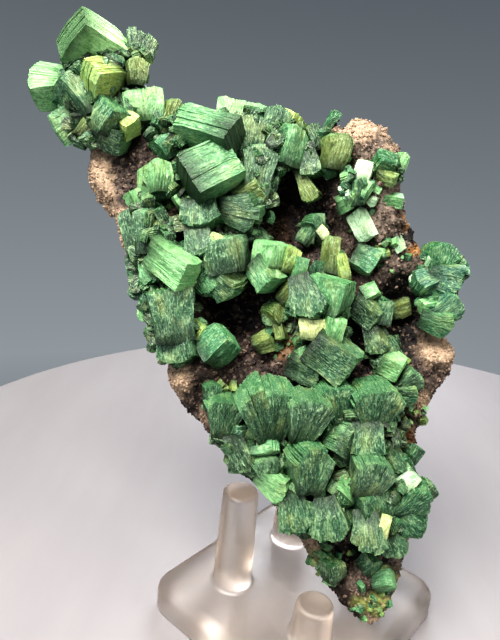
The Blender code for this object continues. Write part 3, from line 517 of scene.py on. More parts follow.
def new_tree(name, sockets):
    """A tree with named inputs: returns it, add_node for it, its inputs and its output node."""
    tree = bpy.data.node_groups.new(name, "GeometryNodeTree")
    tree.interface.new_socket("Geometry", in_out="INPUT", socket_type="NodeSocketGeometry")
    tree.interface.new_socket("Geometry", in_out="OUTPUT", socket_type="NodeSocketGeometry")
    for label, kind in sockets.items():
        tree.interface.new_socket(label, in_out="INPUT", socket_type=f"NodeSocket{kind}")
    add = partial(add_node, tree)
    return tree, add, add("NodeGroupInput").outputs, add("NodeGroupOutput")


def grow_by_nodes(item, tree, values):
    """Run a geometry tree on an object with its inputs set, and keep the result as plain mesh."""
    modifier = item.modifiers.new(tree.name, "NODES")
    modifier.node_group = tree
    for socket in tree.interface.items_tree:
        if socket.in_out == "INPUT" and socket.name in values:
            modifier[socket.identifier] = values[socket.name]
    use_modifiers(item)


def druse_tree():
    tree, add, given, result = new_tree("quartz_druse", {
        "Density": "Float", "Smallest": "Float", "Largest": "Float", "Grain": "Object",
        "Material": "Material", "Seed": "Int"})
    spread = add("GeometryNodeDistributePointsOnFaces",
                 {"Mesh": given["Geometry"], "Density": given["Density"], "Seed": given["Seed"]})
    grain = add("GeometryNodeObjectInfo", {"Object": given["Grain"]})
    chance_turn = add("FunctionNodeRandomValue",
                      {0: (-GRAIN_LEAN, -GRAIN_LEAN, 0.0), 1: (GRAIN_LEAN, GRAIN_LEAN, math.tau),
                       "Seed": given["Seed"]}, data_type="FLOAT_VECTOR")
    turn = add("FunctionNodeRotateRotation",
               {"Rotation": spread.outputs["Rotation"], "Rotate By": chance_turn},
               rotation_space="LOCAL")
    size = add("FunctionNodeRandomValue",
               {2: given["Smallest"], 3: given["Largest"], "Seed": given["Seed"]},
               data_type="FLOAT")
    grains = add("GeometryNodeInstanceOnPoints",
                 {"Points": spread, "Instance": grain.outputs["Geometry"], "Rotation": turn,
                  "Scale": size.outputs[1]})
    solid = add("GeometryNodeRealizeInstances", {"Geometry": grains})
    finished = add("GeometryNodeSetMaterial", {"Geometry": solid, "Material": given["Material"]})
    set_inputs(result, {"Geometry": finished})
    return tree


grain = grain_prototype()
druse = add_object("quartz_druse", matrix_rock.data.copy())
grow_by_nodes(druse, druse_tree(), {
    "Density": DRUSE_PER_MM2 / MM ** 2, "Smallest": GRAIN_SIZE[0] * MM,
    "Largest": GRAIN_SIZE[1] * MM, "Grain": grain, "Seed": DRUSE_SEED,
    "Material": vein_rock("sugary_quartz_druse", sparkle=0.7)})
bpy.data.objects.remove(grain, do_unlink=True)
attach(druse, "root")


# Every crystal is a book: thin square plates stacked face to face, some straight, some fanned
# from the root. Clusters of them grow from low mounds of smaller intergrown books.
PLATE_THICK = 0.3
PLATE_OVERLAP = 1.1            # plates are thicker than their spacing by this, so none part
PLATE_JITTER = 0.008           # chance part of a plate's length and breadth, as a share of them
PLATE_TILT = 0.3               # chance turn of a plate in its book, in degrees
PLATE_SHADE = 0.06             # how much plates differ in brightness
PLATE_NARROWS = 0.1            # how much a straight book's plate narrows from its widest place
FAN_NARROWS = 0.5              # how much more a plate of a full fan does
FAN_FULL = 24.0                # books spread this much or more narrow to their roots
FAN_SWING = 0.68               # how much of a book's spread its outer plates take
FAN_PINCH = 0.36               # how much thinner a fanned book is at its root
FAN_SHORTEN = 0.22             # how much shorter the outer plates of a fan are
FAN_BEND = 0.10                # how far outer plates bow outwards, as a share of their length
FAN_STEPS = 3.0                # how much more the runs of a full fan step than a straight book's
RUN_LENGTHS = (2, 10)          # plates in a run, from the first number to one less than the other
LEDGE = 0.009                  # how far runs of plates stand proud, as a share of their size
RUN_TILT = 0.7                 # how far runs of plates lean out of true, in degrees
PROUD = (-0.007, 0.0, 0.014)   # how far a single plate stands proud, as a share of its size,
PROUD_ODDS = (0.12, 0.76, 0.12)                # and how likely each is
CHIP = 0.22                    # how ragged the plates' edges are, in mm
CHIP_SIZE = 0.7
WARP = 1.3                     # how uneven a whole book is, in mm
WARP_SIZE = 4.0
CORNER_CUT = 0.94              # where a plate's corner is, as a share of a square one's
WIDEST = 0.62                  # where along its length a plate is widest, as a share of it
CRYSTAL_SEED = 27

COLOURS = {
    "pale": "#88ba82", "light": "#609468", "mid": "#345e44", "bright": "#33704c", "aqua": "#386957",
    "teal": "#22583e", "dark": "#1e412c", "deep": "#10261a", "grey": "#486750", "olive": "#727d40",
    "yellow": "#a3b061", "cream": "#d0d196", "white": "#c6dfc0", "fresh": "#d2ffc0",
}

# Plate books by cluster. Each row: seen place u, v; height w; length along growth; stack height;
# breadth; growth heading in the face (0 = right, 90 = up); rise of the growth towards the viewer;
# turn of the stack towards the viewer; spread of the book's plates, in degrees; colour.
CLUSTERS = {
    "top_crystal_cluster": (
        (-46.2, 96.4, 2.6, 8.2, 5.0, 8.0, -16, -45, 141, 0, "fresh"),
        (-38.4, 95.0, 0.4, 6.2, 4.4, 4.6, 76, 0, 15, 20, "dark"),
        (-38.8, 92.0, 3.4, 4.4, 3.2, 3.6, 82, 5, 20, 25, "olive"),
        (-52.6, 89.6, 1.6, 7.2, 6.0, 5.0, 178, 5, 30, 12, "pale"),
        (-50.4, 83.4, 1.6, 4.0, 3.2, 5.6, 212, 5, 62, 0, "light"),
        (-48.2, 88.2, 3.2, 7.6, 4.8, 4.6, 122, 5, 38, 12, "mid"),
        (-44.6, 91.2, 4.6, 5.4, 4.6, 4.4, 205, 42, 25, 0, "yellow"),
        (-43.2, 84.2, 3.8, 5.2, 4.8, 4.6, 52, 22, 62, 0, "teal"),
        (-40.6, 83.2, 3.4, 3.8, 3.2, 3.4, -36, 15, 60, 0, "yellow"),
        (-43.0, 81.4, 2.4, 5.6, 4.0, 4.0, -24, 5, 35, 0, "dark"),
        (-43.7, 87.4, 3.2, 3.0, 1.3, 1.4, 92, 10, 20, 0, "teal"),
        (-47.0, 83.2, 2.4, 4.4, 3.2, 3.2, 62, 5, 35, 0, "olive"),
        (-37.6, 86.4, 1.6, 5.6, 6.4, 4.0, 96, 10, 8, 8, "pale"),
        (-40.2, 86.4, 2.2, 4.2, 2.2, 3.0, -46, 8, 30, 0, "grey"),
    ),
    "upper_left_crystal_cluster": (
        (-33.4, 84.4, 1.6, 6.0, 1.9, 2.6, 68, 5, 30, 12, "olive"),
        (-34.4, 83.8, 1.4, 4.2, 2.6, 2.4, 104, 5, 15, 15, "teal"),
        (-33.8, 79.8, 2.2, 4.4, 3.4, 3.2, 120, 10, 25, 20, "bright"),
        (-26.8, 82.0, 4.6, 10.8, 5.2, 5.4, 157, -24, 24, 0, "light"),
        (-20.2, 80.8, 2.8, 7.0, 4.4, 4.4, 84, 5, 10, 10, "mid"),
        (-22.0, 83.8, 1.2, 5.8, 7.6, 5.0, 80, 0, 8, 0, "pale"),
        (-16.4, 82.6, 2.4, 7.2, 4.2, 4.2, 62, 5, 15, 20, "mid"),
        (-13.6, 79.6, 3.2, 6.6, 4.0, 4.2, 76, 5, 45, 0, "light"),
        (-13.6, 83.2, 1.8, 4.2, 3.2, 3.2, 50, 5, 50, 0, "yellow"),
        (-26.6, 75.0, 5.2, 8.6, 6.8, 7.6, 30, -15, -10, 0, "light"),
        (-19.0, 75.4, 3.4, 9.4, 4.4, 4.2, 82, 5, 15, 14, "grey"),
        (-16.8, 74.4, 2.4, 3.2, 2.2, 2.2, 82, 5, 20, 0, "teal"),
        (-20.4, 72.2, 3.8, 4.8, 3.6, 3.6, 20, 10, 40, 0, "olive"),
        (-21.6, 69.4, 4.0, 6.6, 5.8, 5.0, -10, 10, 22, 24, "grey"),
        (-18.6, 65.4, 2.0, 5.0, 1.8, 2.0, -42, 5, 20, 0, "dark"),
    ),
    "left_crystal_cluster": (
        (-35.9, 74.0, 3.2, 5.6, 2.8, 6.2, 94, -5, -140, 0, "pale"),
        (-35.2, 69.8, 2.8, 1.8, 1.8, 1.8, 30, 10, 40, 0, "pale"),
        (-38.6, 70.2, 1.6, 4.4, 3.2, 3.2, 112, 5, 40, 0, "pale"),
        (-39.6, 65.2, 1.4, 7.2, 2.8, 4.0, 100, 0, 10, 8, "mid"),
        (-37.2, 65.4, 2.8, 7.2, 3.6, 4.2, 92, 0, 5, 8, "mid"),
        (-34.4, 65.6, 2.8, 5.8, 3.8, 4.0, 80, 0, 5, 8, "olive"),
        (-28.0, 68.4, 4.4, 5.2, 7.4, 5.0, -88, 10, 8, 26, "mid"),
        (-31.2, 70.6, 3.6, 2.8, 2.0, 2.0, 120, 10, 20, 0, "pale"),
        (-28.4, 63.8, 4.2, 5.0, 4.6, 4.2, -86, 5, 5, 14, "grey"),
        (-26.2, 63.2, 6.0, 4.0, 0.9, 2.2, 64, 15, 74, 0, "cream"),
        (-23.6, 61.8, 4.2, 5.8, 6.2, 5.2, 100, 10, 66, 0, "grey"),
        (-24.2, 57.6, 3.4, 6.2, 4.2, 4.6, -50, 5, 40, 14, "mid"),
        (-27.0, 58.8, 3.4, 6.2, 2.6, 3.2, -62, 5, 20, 8, "light"),
        (-32.8, 60.4, 5.8, 8.4, 4.8, 4.6, -38, 22, 28, 0, "pale"),
        (-38.8, 59.4, 1.0, 5.8, 1.8, 3.0, -68, 0, 10, 8, "mid"),
        (-36.6, 59.4, 2.6, 5.2, 2.6, 3.2, -80, 5, 10, 8, "light"),
        (-36.6, 56.0, 2.4, 4.4, 2.8, 3.2, -72, 5, 25, 8, "teal"),
        (-37.0, 53.4, 1.4, 5.2, 1.8, 3.0, -86, 0, 10, 8, "pale"),
    ),
    "lower_left_crystal_cluster": (
        (-33.0, 51.8, 4.2, 9.2, 6.4, 5.6, 97, 5, 14, 6, "mid"),
        (-30.2, 54.6, 3.2, 4.4, 1.8, 3.0, 90, 5, 10, 0, "grey"),
        (-35.6, 49.6, 1.4, 4.8, 2.4, 3.2, -90, 0, 10, 8, "grey"),
        (-31.6, 46.4, 3.2, 5.0, 6.0, 5.0, -82, 5, 18, 12, "mid"),
        (-28.2, 49.0, 2.4, 3.4, 2.8, 3.0, 60, 5, 50, 0, "yellow"),
        (-25.6, 46.8, 3.4, 5.4, 4.6, 5.0, 38, 8, 58, 0, "bright"),
    ),
    "middle_block_cluster": (
        (-16.6, 61.8, 3.6, 4.2, 4.0, 4.2, 80, 12, 45, 0, "pale"),
        (-17.4, 58.6, 3.6, 5.0, 4.0, 4.2, -60, 20, 35, 0, "light"),
        (-13.6, 61.0, 3.2, 4.4, 2.4, 2.8, 70, 10, 25, 0, "yellow"),
    ),
    "central_crystal_cluster": (
        (-11.8, 59.2, 4.0, 4.4, 2.0, 2.6, 80, 10, 20, 0, "light"),
        (-14.0, 55.6, 2.8, 3.6, 2.0, 2.4, 45, 10, 20, 0, "olive"),
        (-10.4, 54.6, 4.6, 7.6, 5.0, 5.0, -76, 10, 20, 24, "mid"),
        (-6.7, 55.4, 4.8, 5.4, 4.8, 6.0, 78, 19, 60, 0, "light"),
        (-9.6, 49.4, 5.0, 3.4, 1.6, 4.2, 90, 5, 82, 0, "cream"),
        (-6.4, 49.6, 5.0, 4.2, 3.0, 4.0, 80, 5, 15, 0, "pale"),
        (-6.3, 45.0, 5.4, 7.8, 5.4, 5.4, -38, 10, 20, 0, "mid"),
        (-11.0, 43.0, 3.6, 5.8, 3.6, 4.2, -25, 5, 30, 0, "grey"),
    ),
    "olive_crystal_cluster": (
        (-15.4, 52.2, 1.2, 4.2, 4.0, 4.0, 110, 10, 30, 30, "olive"),
        (-15.0, 49.4, 1.6, 3.6, 1.6, 2.0, -80, 5, 20, 0, "olive"),
    ),
    "spear_crystal_pair": (
        (-6.6, 61.9, 2.4, 6.2, 2.2, 2.8, 83, 5, 20, 0, "olive"),
        (-5.0, 59.6, 2.4, 4.8, 1.8, 2.4, 100, 5, 20, 0, "yellow"),
    ),
    "hollow_plate_cluster": (
        (-9.2, 66.7, 0.4, 3.8, 2.4, 3.0, 110, 15, 30, 20, "mid"),
        (-8.0, 65.5, 1.6, 1.9, 1.0, 1.9, 38, 5, 86, 0, "cream"),
        (-10.6, 65.0, 0.2, 3.4, 1.8, 2.4, 60, 10, 30, 0, "mid"),
    ),
    "upper_right_crystal_cluster": (
        (-6.0, 78.8, 4.0, 5.6, 3.6, 4.2, 80, 10, 20, 14, "olive"),
        (-9.6, 81.0, 2.4, 4.4, 2.4, 3.0, 108, 5, 20, 0, "dark"),
        (-10.0, 77.2, 2.4, 5.4, 2.8, 3.2, -80, 5, 20, 10, "dark"),
        (-10.8, 73.4, 1.4, 7.0, 1.8, 2.6, -64, 5, 20, 10, "olive"),
    ),
    "lobe_crest_cluster": (
        (2.4, 76.7, 4.2, 4.2, 2.4, 3.8, 165, 15, 40, 16, "bright"),
        (4.6, 76.9, 3.4, 3.6, 1.4, 3.4, 68, 0, 30, 0, "pale"),
        (2.9, 74.8, 4.2, 3.2, 1.8, 3.0, -30, 15, 50, 0, "olive"),
    ),
    "lobe_plate_cluster": (
        (-1.1, 75.4, 5.0, 3.6, 1.3, 2.6, 72, 5, 78, 0, "white"),
        (-1.1, 72.2, 5.2, 3.6, 1.3, 2.2, 66, 5, 60, 0, "pale"),
        (-2.6, 71.9, 4.8, 4.0, 1.2, 2.4, 86, 5, 30, 0, "mid"),
        (-4.2, 70.6, 4.0, 3.4, 2.0, 2.4, 24, 10, 30, 0, "pale"),
    ),
    "right_knob_upper_cluster": (
        (11.2, 60.8, 1.8, 6.2, 4.2, 4.2, 72, 10, 20, 26, "bright"),
        (12.6, 58.0, 2.4, 6.0, 4.2, 4.2, -20, 10, 20, 16, "aqua"),
        (9.2, 57.6, 2.2, 4.8, 3.2, 3.6, 198, 10, 20, 16, "aqua"),
    ),
    "right_knob_lower_cluster": (
        (12.2, 53.2, 2.2, 5.2, 4.4, 4.2, 32, 10, 30, 20, "aqua"),
        (10.8, 51.0, 2.6, 5.2, 3.6, 3.8, -20, 10, 30, 16, "bright"),
        (9.8, 53.0, 2.4, 3.4, 2.0, 2.6, 190, 15, 50, 0, "pale"),
    ),
    "inner_right_cluster": (
        (-0.7, 52.4, 2.2, 5.4, 3.4, 4.2, -40, 18, 40, 0, "dark"),
        (2.0, 52.2, 1.8, 4.0, 2.4, 3.2, 80, 5, 20, 0, "mid"),
        (0.0, 55.6, 2.4, 3.2, 1.4, 2.4, 30, 10, 60, 0, "pale"),
    ),
    "inner_right_small_cluster": (
        (0.8, 47.6, 2.2, 4.8, 3.4, 3.6, -76, 8, 25, 16, "dark"),
        (3.5, 43.6, 2.8, 4.0, 3.4, 3.4, -26, 15, 30, 0, "pale"),
        (6.4, 41.0, 2.2, 4.2, 3.2, 3.2, 30, 10, 30, 20, "grey"),
        (5.4, 39.0, 2.2, 4.6, 3.0, 3.2, -10, 5, 30, 14, "teal"),
        (3.0, 45.6, 1.6, 4.0, 2.4, 2.8, 120, 5, 30, 0, "mid"),
    ),
    "lower_fan_cluster": (
        (-4.6, 22.8, 4.4, 5.2, 2.2, 3.4, 128, 10, 30, 10, "pale"),
        (-17.3, 36.0, 5.2, 10.6, 4.8, 6.4, 95, 28, 8, 46, "mid"),
        (-10.9, 35.0, 6.8, 8.8, 4.4, 5.4, 72, 20, 15, 40, "grey"),
        (-6.4, 36.8, 4.0, 8.6, 4.8, 5.0, 97, 22, 10, 20, "teal"),
        (0.4, 36.8, 4.8, 8.4, 4.4, 5.6, 86, 26, 10, 52, "mid"),
        (-24.4, 35.0, 3.6, 7.0, 4.4, 4.4, 82, 15, 15, 36, "mid"),
        (-26.6, 38.4, 2.6, 4.8, 1.8, 2.4, 84, 10, 20, 20, "mid"),
        (-21.2, 31.2, 3.4, 4.6, 2.8, 3.4, 70, 5, 20, 0, "mid"),
        (-21.2, 29.2, 3.6, 6.6, 4.0, 4.2, -70, 5, 20, 10, "dark"),
        (-17.9, 30.2, 4.8, 4.8, 1.3, 3.4, 8, 8, 55, 20, "light"),
        (-17.6, 26.6, 4.4, 4.4, 3.6, 3.4, 96, 16, 20, 30, "grey"),
        (-10.6, 26.6, 6.2, 8.8, 5.0, 5.8, 84, 18, 22, 26, "mid"),
        (-5.0, 31.0, 4.6, 5.8, 4.6, 4.6, 120, 22, 20, 30, "grey"),
        (-0.4, 31.2, 5.0, 6.0, 5.0, 4.8, -88, 8, 10, 10, "mid"),
        (-0.4, 25.6, 5.8, 7.4, 5.0, 5.6, 70, 20, 14, 34, "grey"),
        (3.8, 28.6, 4.2, 5.4, 2.2, 3.2, -60, 5, 20, 0, "mid"),
        (-16.4, 24.0, 4.8, 5.6, 3.4, 3.4, -34, 10, 20, 14, "pale"),
        (-12.3, 19.6, 4.4, 7.6, 4.8, 5.0, -78, 4, 14, 16, "mid"),
        (-6.9, 18.3, 5.0, 7.6, 4.8, 5.2, -84, 8, 12, 26, "mid"),
        (-0.5, 16.3, 4.8, 6.6, 5.0, 5.0, -84, 8, 12, 24, "grey"),
        (0.6, 20.9, 4.2, 5.4, 7.0, 4.6, 92, 16, 20, 10, "teal"),
        (2.3, 16.4, 7.0, 4.0, 1.0, 1.9, 76, 5, 76, 0, "cream"),
        (6.2, 20.9, 3.4, 7.2, 3.8, 4.4, 32, 12, 24, 30, "teal"),
        (8.4, 22.4, 2.4, 4.6, 2.0, 2.6, 36, 5, 25, 16, "dark"),
        (6.2, 18.0, 3.0, 5.6, 4.2, 4.0, -50, 10, 20, 20, "teal"),
        (3.6, 14.6, 3.2, 5.0, 3.2, 3.6, -72, 5, 20, 12, "mid"),
        (5.9, 24.3, 4.8, 3.4, 1.4, 3.0, 44, 10, 80, 0, "white"),
        (4.8, 25.8, 3.4, 4.0, 2.4, 3.0, 24, 5, 30, 0, "teal"),
    ),
}

# Low mounds that the clusters rise from: seen place u, v; height w; radii along u, v and w.
CLUSTER_ROOTS = {
    "top_crystal_cluster": ((-45.6, 88.4, 1.6, 5.6, 8.4, 3.0), (-40.0, 92.6, 1.2, 3.4, 3.4, 2.4),
                            (-38.4, 86.0, 0.6, 3.4, 2.8, 2.2)),
    "upper_left_crystal_cluster": (
        (-23.0, 79.6, 2.2, 10.0, 5.0, 3.2), (-19.6, 71.8, 1.8, 3.2, 7.0, 2.6),
        (-32.0, 81.2, 1.6, 4.2, 3.0, 2.4), (-14.6, 80.6, 1.8, 3.4, 4.0, 2.6)),
    "left_crystal_cluster": (
        (-32.4, 66.0, 1.8, 6.6, 8.6, 3.0), (-26.4, 61.0, 1.8, 5.0, 5.4, 3.0),
        (-35.4, 58.0, 1.4, 3.6, 6.0, 2.6)),
    "lower_left_crystal_cluster": ((-32.2, 49.4, 1.4, 4.4, 5.6, 3.0), (-27.0, 47.4, 1.2, 3.6, 2.6, 2.6)),
    "middle_block_cluster": ((-15.8, 60.4, 1.0, 3.4, 2.6, 3.0),),
    "central_crystal_cluster": ((-8.8, 54.0, 1.8, 4.6, 5.4, 3.2), (-8.0, 46.4, 1.8, 4.2, 4.6, 3.2)),
    "olive_crystal_cluster": ((-15.2, 51.2, 0.2, 2.4, 2.6, 1.6),),
    "spear_crystal_pair": ((-5.9, 59.6, 0.8, 1.8, 2.4, 1.8),),
    "hollow_plate_cluster": ((-9.6, 65.4, -1.6, 2.2, 2.2, 2.0),),
    "upper_right_crystal_cluster": ((-8.2, 78.6, 1.6, 3.8, 3.6, 2.2),),
    "lobe_crest_cluster": ((2.9, 76.0, 3.4, 2.6, 2.0, 1.8),),
    "lobe_plate_cluster": ((-2.0, 72.8, 4.0, 2.2, 3.2, 1.6),),
    "right_knob_upper_cluster": ((11.2, 58.8, 1.0, 3.4, 3.0, 2.0),),
    "right_knob_lower_cluster": ((11.2, 52.4, 1.2, 2.8, 2.2, 2.0),),
    "inner_right_cluster": ((0.6, 52.8, 0.4, 2.6, 2.4, 2.2),),
    "inner_right_small_cluster": ((2.2, 45.4, 0.8, 2.6, 3.4, 2.0), (5.4, 40.4, 1.4, 2.8, 2.4, 1.8)),
    "lower_fan_cluster": (
        (-17.0, 32.6, 2.2, 8.0, 6.6, 3.0), (-3.0, 33.0, 2.4, 8.0, 5.4, 3.2),
        (-9.4, 23.6, 2.4, 6.6, 7.0, 3.0), (1.4, 22.0, 2.2, 5.8, 7.4, 3.0)),
}

# How far from its mound's middle a cluster's small crystals sit, as a share of the mound's radii,
# and their colours. Most mounds get dark ones, which are painted shade of the crevices between the
# books. On the knobs and around the lobe's plates they are lighter and stand out.
MOUND_CRYSTALS_IN_PAINTED_SHADE = (1.0, ("teal", "dark", "deep", "deep", "dark"))
LIGHT_CRYSTALS = (1.2, ("bright", "aqua", "pale", "teal", "white", "mid"))
LIGHT_MOUNDS = ("right_knob_upper_cluster", "right_knob_lower_cluster", "lobe_plate_cluster")
MOUND_PER_MM2 = 1.8
MOUND_SMALLEST, MOUND_LARGEST = 1.2, 3.6

# Where tiny crystals dot the bare rock: centre u, v, radii, how many, smallest and largest in mm.
SPECKS = (
    (-25.6, 37.6, 3.0, 3.2, 16, 0.9, 2.2),
    (-14.0, 47.4, 4.0, 3.6, 12, 0.6, 1.6),
    (-13.0, 55.0, 3.0, 4.0, 6, 0.6, 1.3),
    (4.0, 43.0, 3.4, 4.0, 18, 0.8, 2.0),
    (3.0, 62.4, 3.0, 4.0, 12, 0.6, 1.6),
    (-1.0, 70.0, 3.6, 8.0, 12, 0.6, 1.6),
    (8.4, 33.6, 1.8, 5.0, 12, 0.8, 1.8),
    (-7.0, 11.6, 4.0, 3.6, 26, 0.7, 1.9),
    (2.4, 7.4, 2.8, 4.6, 18, 0.6, 1.6),
    (-0.4, 3.4, 3.0, 1.8, 16, 0.6, 1.2),
    (9.6, 56.4, 3.6, 4.6, 16, 0.8, 2.0),
    (-31.0, 81.0, 2.6, 3.0, 10, 0.8, 1.8),
    (-44.4, 82.6, 3.6, 2.0, 12, 0.8, 2.0),
    (-11.0, 17.0, 4.0, 3.0, 14, 0.8, 1.8),
    (-36.4, 67.0, 3.6, 6.0, 14, 0.8, 1.8),
)


def crystal_axes(heading, rise, turn):
    """Columns g, c, b: growth, stack and breadth directions of a book, in the face frame."""
    heading, rise, turn = (math.radians(angle) for angle in (heading, rise, turn))
    growth = Vector((math.cos(heading) * math.cos(rise), math.sin(heading) * math.cos(rise),
                     math.sin(rise)))
    side = Vector((-math.sin(heading), math.cos(heading), 0.0))
    towards = growth.cross(side)
    stack = side * math.cos(turn) + towards * math.sin(turn)
    return Matrix((growth, stack, growth.cross(stack))).transposed()


class Plates:
    """The places, turns, sizes and colours of a piece's plates, as a mesh of points."""

    def __init__(self):
        self.rows = []

    def add(self, place, axes, size, layer, tint, bend, narrow):
        world_axes = FACE.to_3x3() @ axes
        self.rows.append((FACE @ place * MM, world_axes.to_quaternion(), Vector(size) * MM, layer,
                          tint, bend * MM, narrow))

    def mesh(self, name):
        mesh = bpy.data.meshes.new(name)
        mesh.from_pydata([row[0] for row in self.rows], [], [])
        for column, (label, kind, key) in enumerate((
                ("turn", "QUATERNION", "value"), ("size", "FLOAT_VECTOR", "vector"),
                ("layer", "FLOAT_VECTOR", "vector"), ("tint", "FLOAT_COLOR", "color"),
                ("bend", "FLOAT", "value"), ("narrow", "FLOAT", "value")), start=1):
            values = np.array([row[column] for row in self.rows], dtype=np.float32).ravel()
            mesh.attributes.new(label, kind, "POINT").data.foreach_set(key, values)
        return mesh


def add_book(plates, place, axes, size, fan, tint, dice):
    """Stack one book's plates: straight, or fanned about the breadth axis from the root."""
    length, stack, breadth = size
    growth, stacking = axes.col[0], axes.col[1]
    root = place - growth * length * 0.5
    fanned = min(1.0, fan / FAN_FULL)
    root_stack = stack * (1.0 - FAN_PINCH * fanned)
    bow = fanned * FAN_BEND * length * 2.0
    end_stack = root_stack + 2.0 * length * math.sin(math.radians(fan * FAN_SWING / 2.0)) + bow
    count = max(3, round(end_stack / PLATE_THICK))
    thick = end_stack / count * PLATE_OVERLAP
    book_origin = dice.uniform(-400.0, 400.0, 3)
    left_in_run = 0
    for index in range(count):
        share = (index + 0.5) / count - 0.5
        if left_in_run == 0:
            left_in_run = int(dice.integers(*RUN_LENGTHS))
            tilt, step, edge, slide = dice.normal(0.0, (RUN_TILT, LEDGE, LEDGE, LEDGE))
            step *= 1.0 + FAN_STEPS * fanned
        left_in_run -= 1
        swing = Matrix.Rotation(math.radians(fan * share * FAN_SWING), 3, axes.col[2])
        skew = Matrix.Rotation(math.radians(tilt + dice.normal(0.0, PLATE_TILT)), 3, stacking)
        plate_axes = swing @ skew @ axes
        end = 1.0 - 2.0 * FAN_SHORTEN * share * share * (0.35 + 1.65 * fanned)
        reach = length * (end + step + dice.normal(0.0, PLATE_JITTER))
        width = breadth * (end * 0.3 + 0.7 + edge + dice.normal(0.0, PLATE_JITTER))
        centre = (root + plate_axes.col[0] * reach * 0.5 + stacking * root_stack * share
                  + plate_axes.col[2] * slide * breadth)
        layer = Vector(book_origin) + Vector((0.0, index * PLATE_THICK, 0.0))
        proud = dice.choice(PROUD, p=PROUD_ODDS)
        shade = 1.0 + dice.normal(0.0, PLATE_SHADE)
        plates.add(centre, plate_axes, (reach * (1.0 + proud), thick, width * (1.0 + proud)), layer,
                   (tint[0] * shade, tint[1] * shade, tint[2] * shade, 1.0), bend=share * bow,
                   narrow=-PLATE_NARROWS - FAN_NARROWS * fanned)


def add_placed_books(plates, rows, dice):
    for u, v, w, length, stack, breadth, heading, rise, turn, fan, colour in rows:
        add_book(plates, seen(u, v, w), crystal_axes(heading, rise, turn), (length, stack, breadth),
                 fan, linear(COLOURS[colour]), dice)


def chance_tint(dice, names):
    return linear(COLOURS[names[int(dice.integers(len(names)))]])


def chance_axes(dice, outward):
    """Axes of a small crystal that grows roughly outward."""
    growth = (Vector(outward) + Vector(dice.normal(0.0, 0.7, 3))).normalized()
    stacking = growth.cross(Vector(dice.normal(0.0, 1.0, 3))).normalized()
    return Matrix((growth, stacking, growth.cross(stacking))).transposed()


def add_mound_crystals(plates, root, dice, stand_out, colours):
    """Small books all over the front of the mound that a cluster rises from."""
    u, v, w, *radii = root
    centre = seen(u, v, w)
    amount = round(radii[0] * radii[1] * MOUND_PER_MM2) + 8
    largest = min(MOUND_LARGEST, MOUND_SMALLEST + 0.15 * (radii[0] + radii[1]))
    for _ in range(amount):
        outward = Vector(dice.normal(0.0, 1.0, 3))
        outward.z = abs(outward.z) * 0.8
        outward.normalize()
        place = centre + Vector([outward[axis] * radii[axis] * stand_out for axis in range(3)])
        size = dice.uniform(MOUND_SMALLEST, largest)
        tint = chance_tint(dice, colours)
        add_book(plates, place, chance_axes(dice, outward),
                 (size, size * dice.uniform(0.2, 0.6), size * dice.uniform(0.6, 0.9)),
                 dice.uniform(0.0, 50.0), tint, dice)


def plate_prototype():
    """One plate, 1 by 1 by 1, its corners cut and each point knowing its place on the plate."""
    shape = bmesh.new()
    bmesh.ops.create_grid(shape, x_segments=4, y_segments=2, size=0.5)
    for vert in shape.verts:
        vert.co.x = math.copysign(abs(2.0 * vert.co.x) ** 0.7 / 2.0, vert.co.x)
        if abs(vert.co.x) > 0.49 and abs(vert.co.y) > 0.49:
            vert.co.x *= CORNER_CUT
            vert.co.y *= CORNER_CUT
    bottom = shape.faces[:]
    top = bmesh.ops.extrude_face_region(shape, geom=bottom)
    for vert in (item for item in top["geom"] if isinstance(item, bmesh.types.BMVert)):
        vert.co.z += 1.0
    for vert in shape.verts:
        x, y, z = vert.co
        vert.co = (x, z - 0.5, y)
    bmesh.ops.recalc_face_normals(shape, faces=shape.faces)
    item = object_from_bmesh("plate", shape)
    values = np.array([vert.co for vert in item.data.vertices], dtype=np.float32).ravel()
    item.data.attributes.new("grain", "FLOAT_VECTOR", "POINT").data.foreach_set("vector", values)
    return item


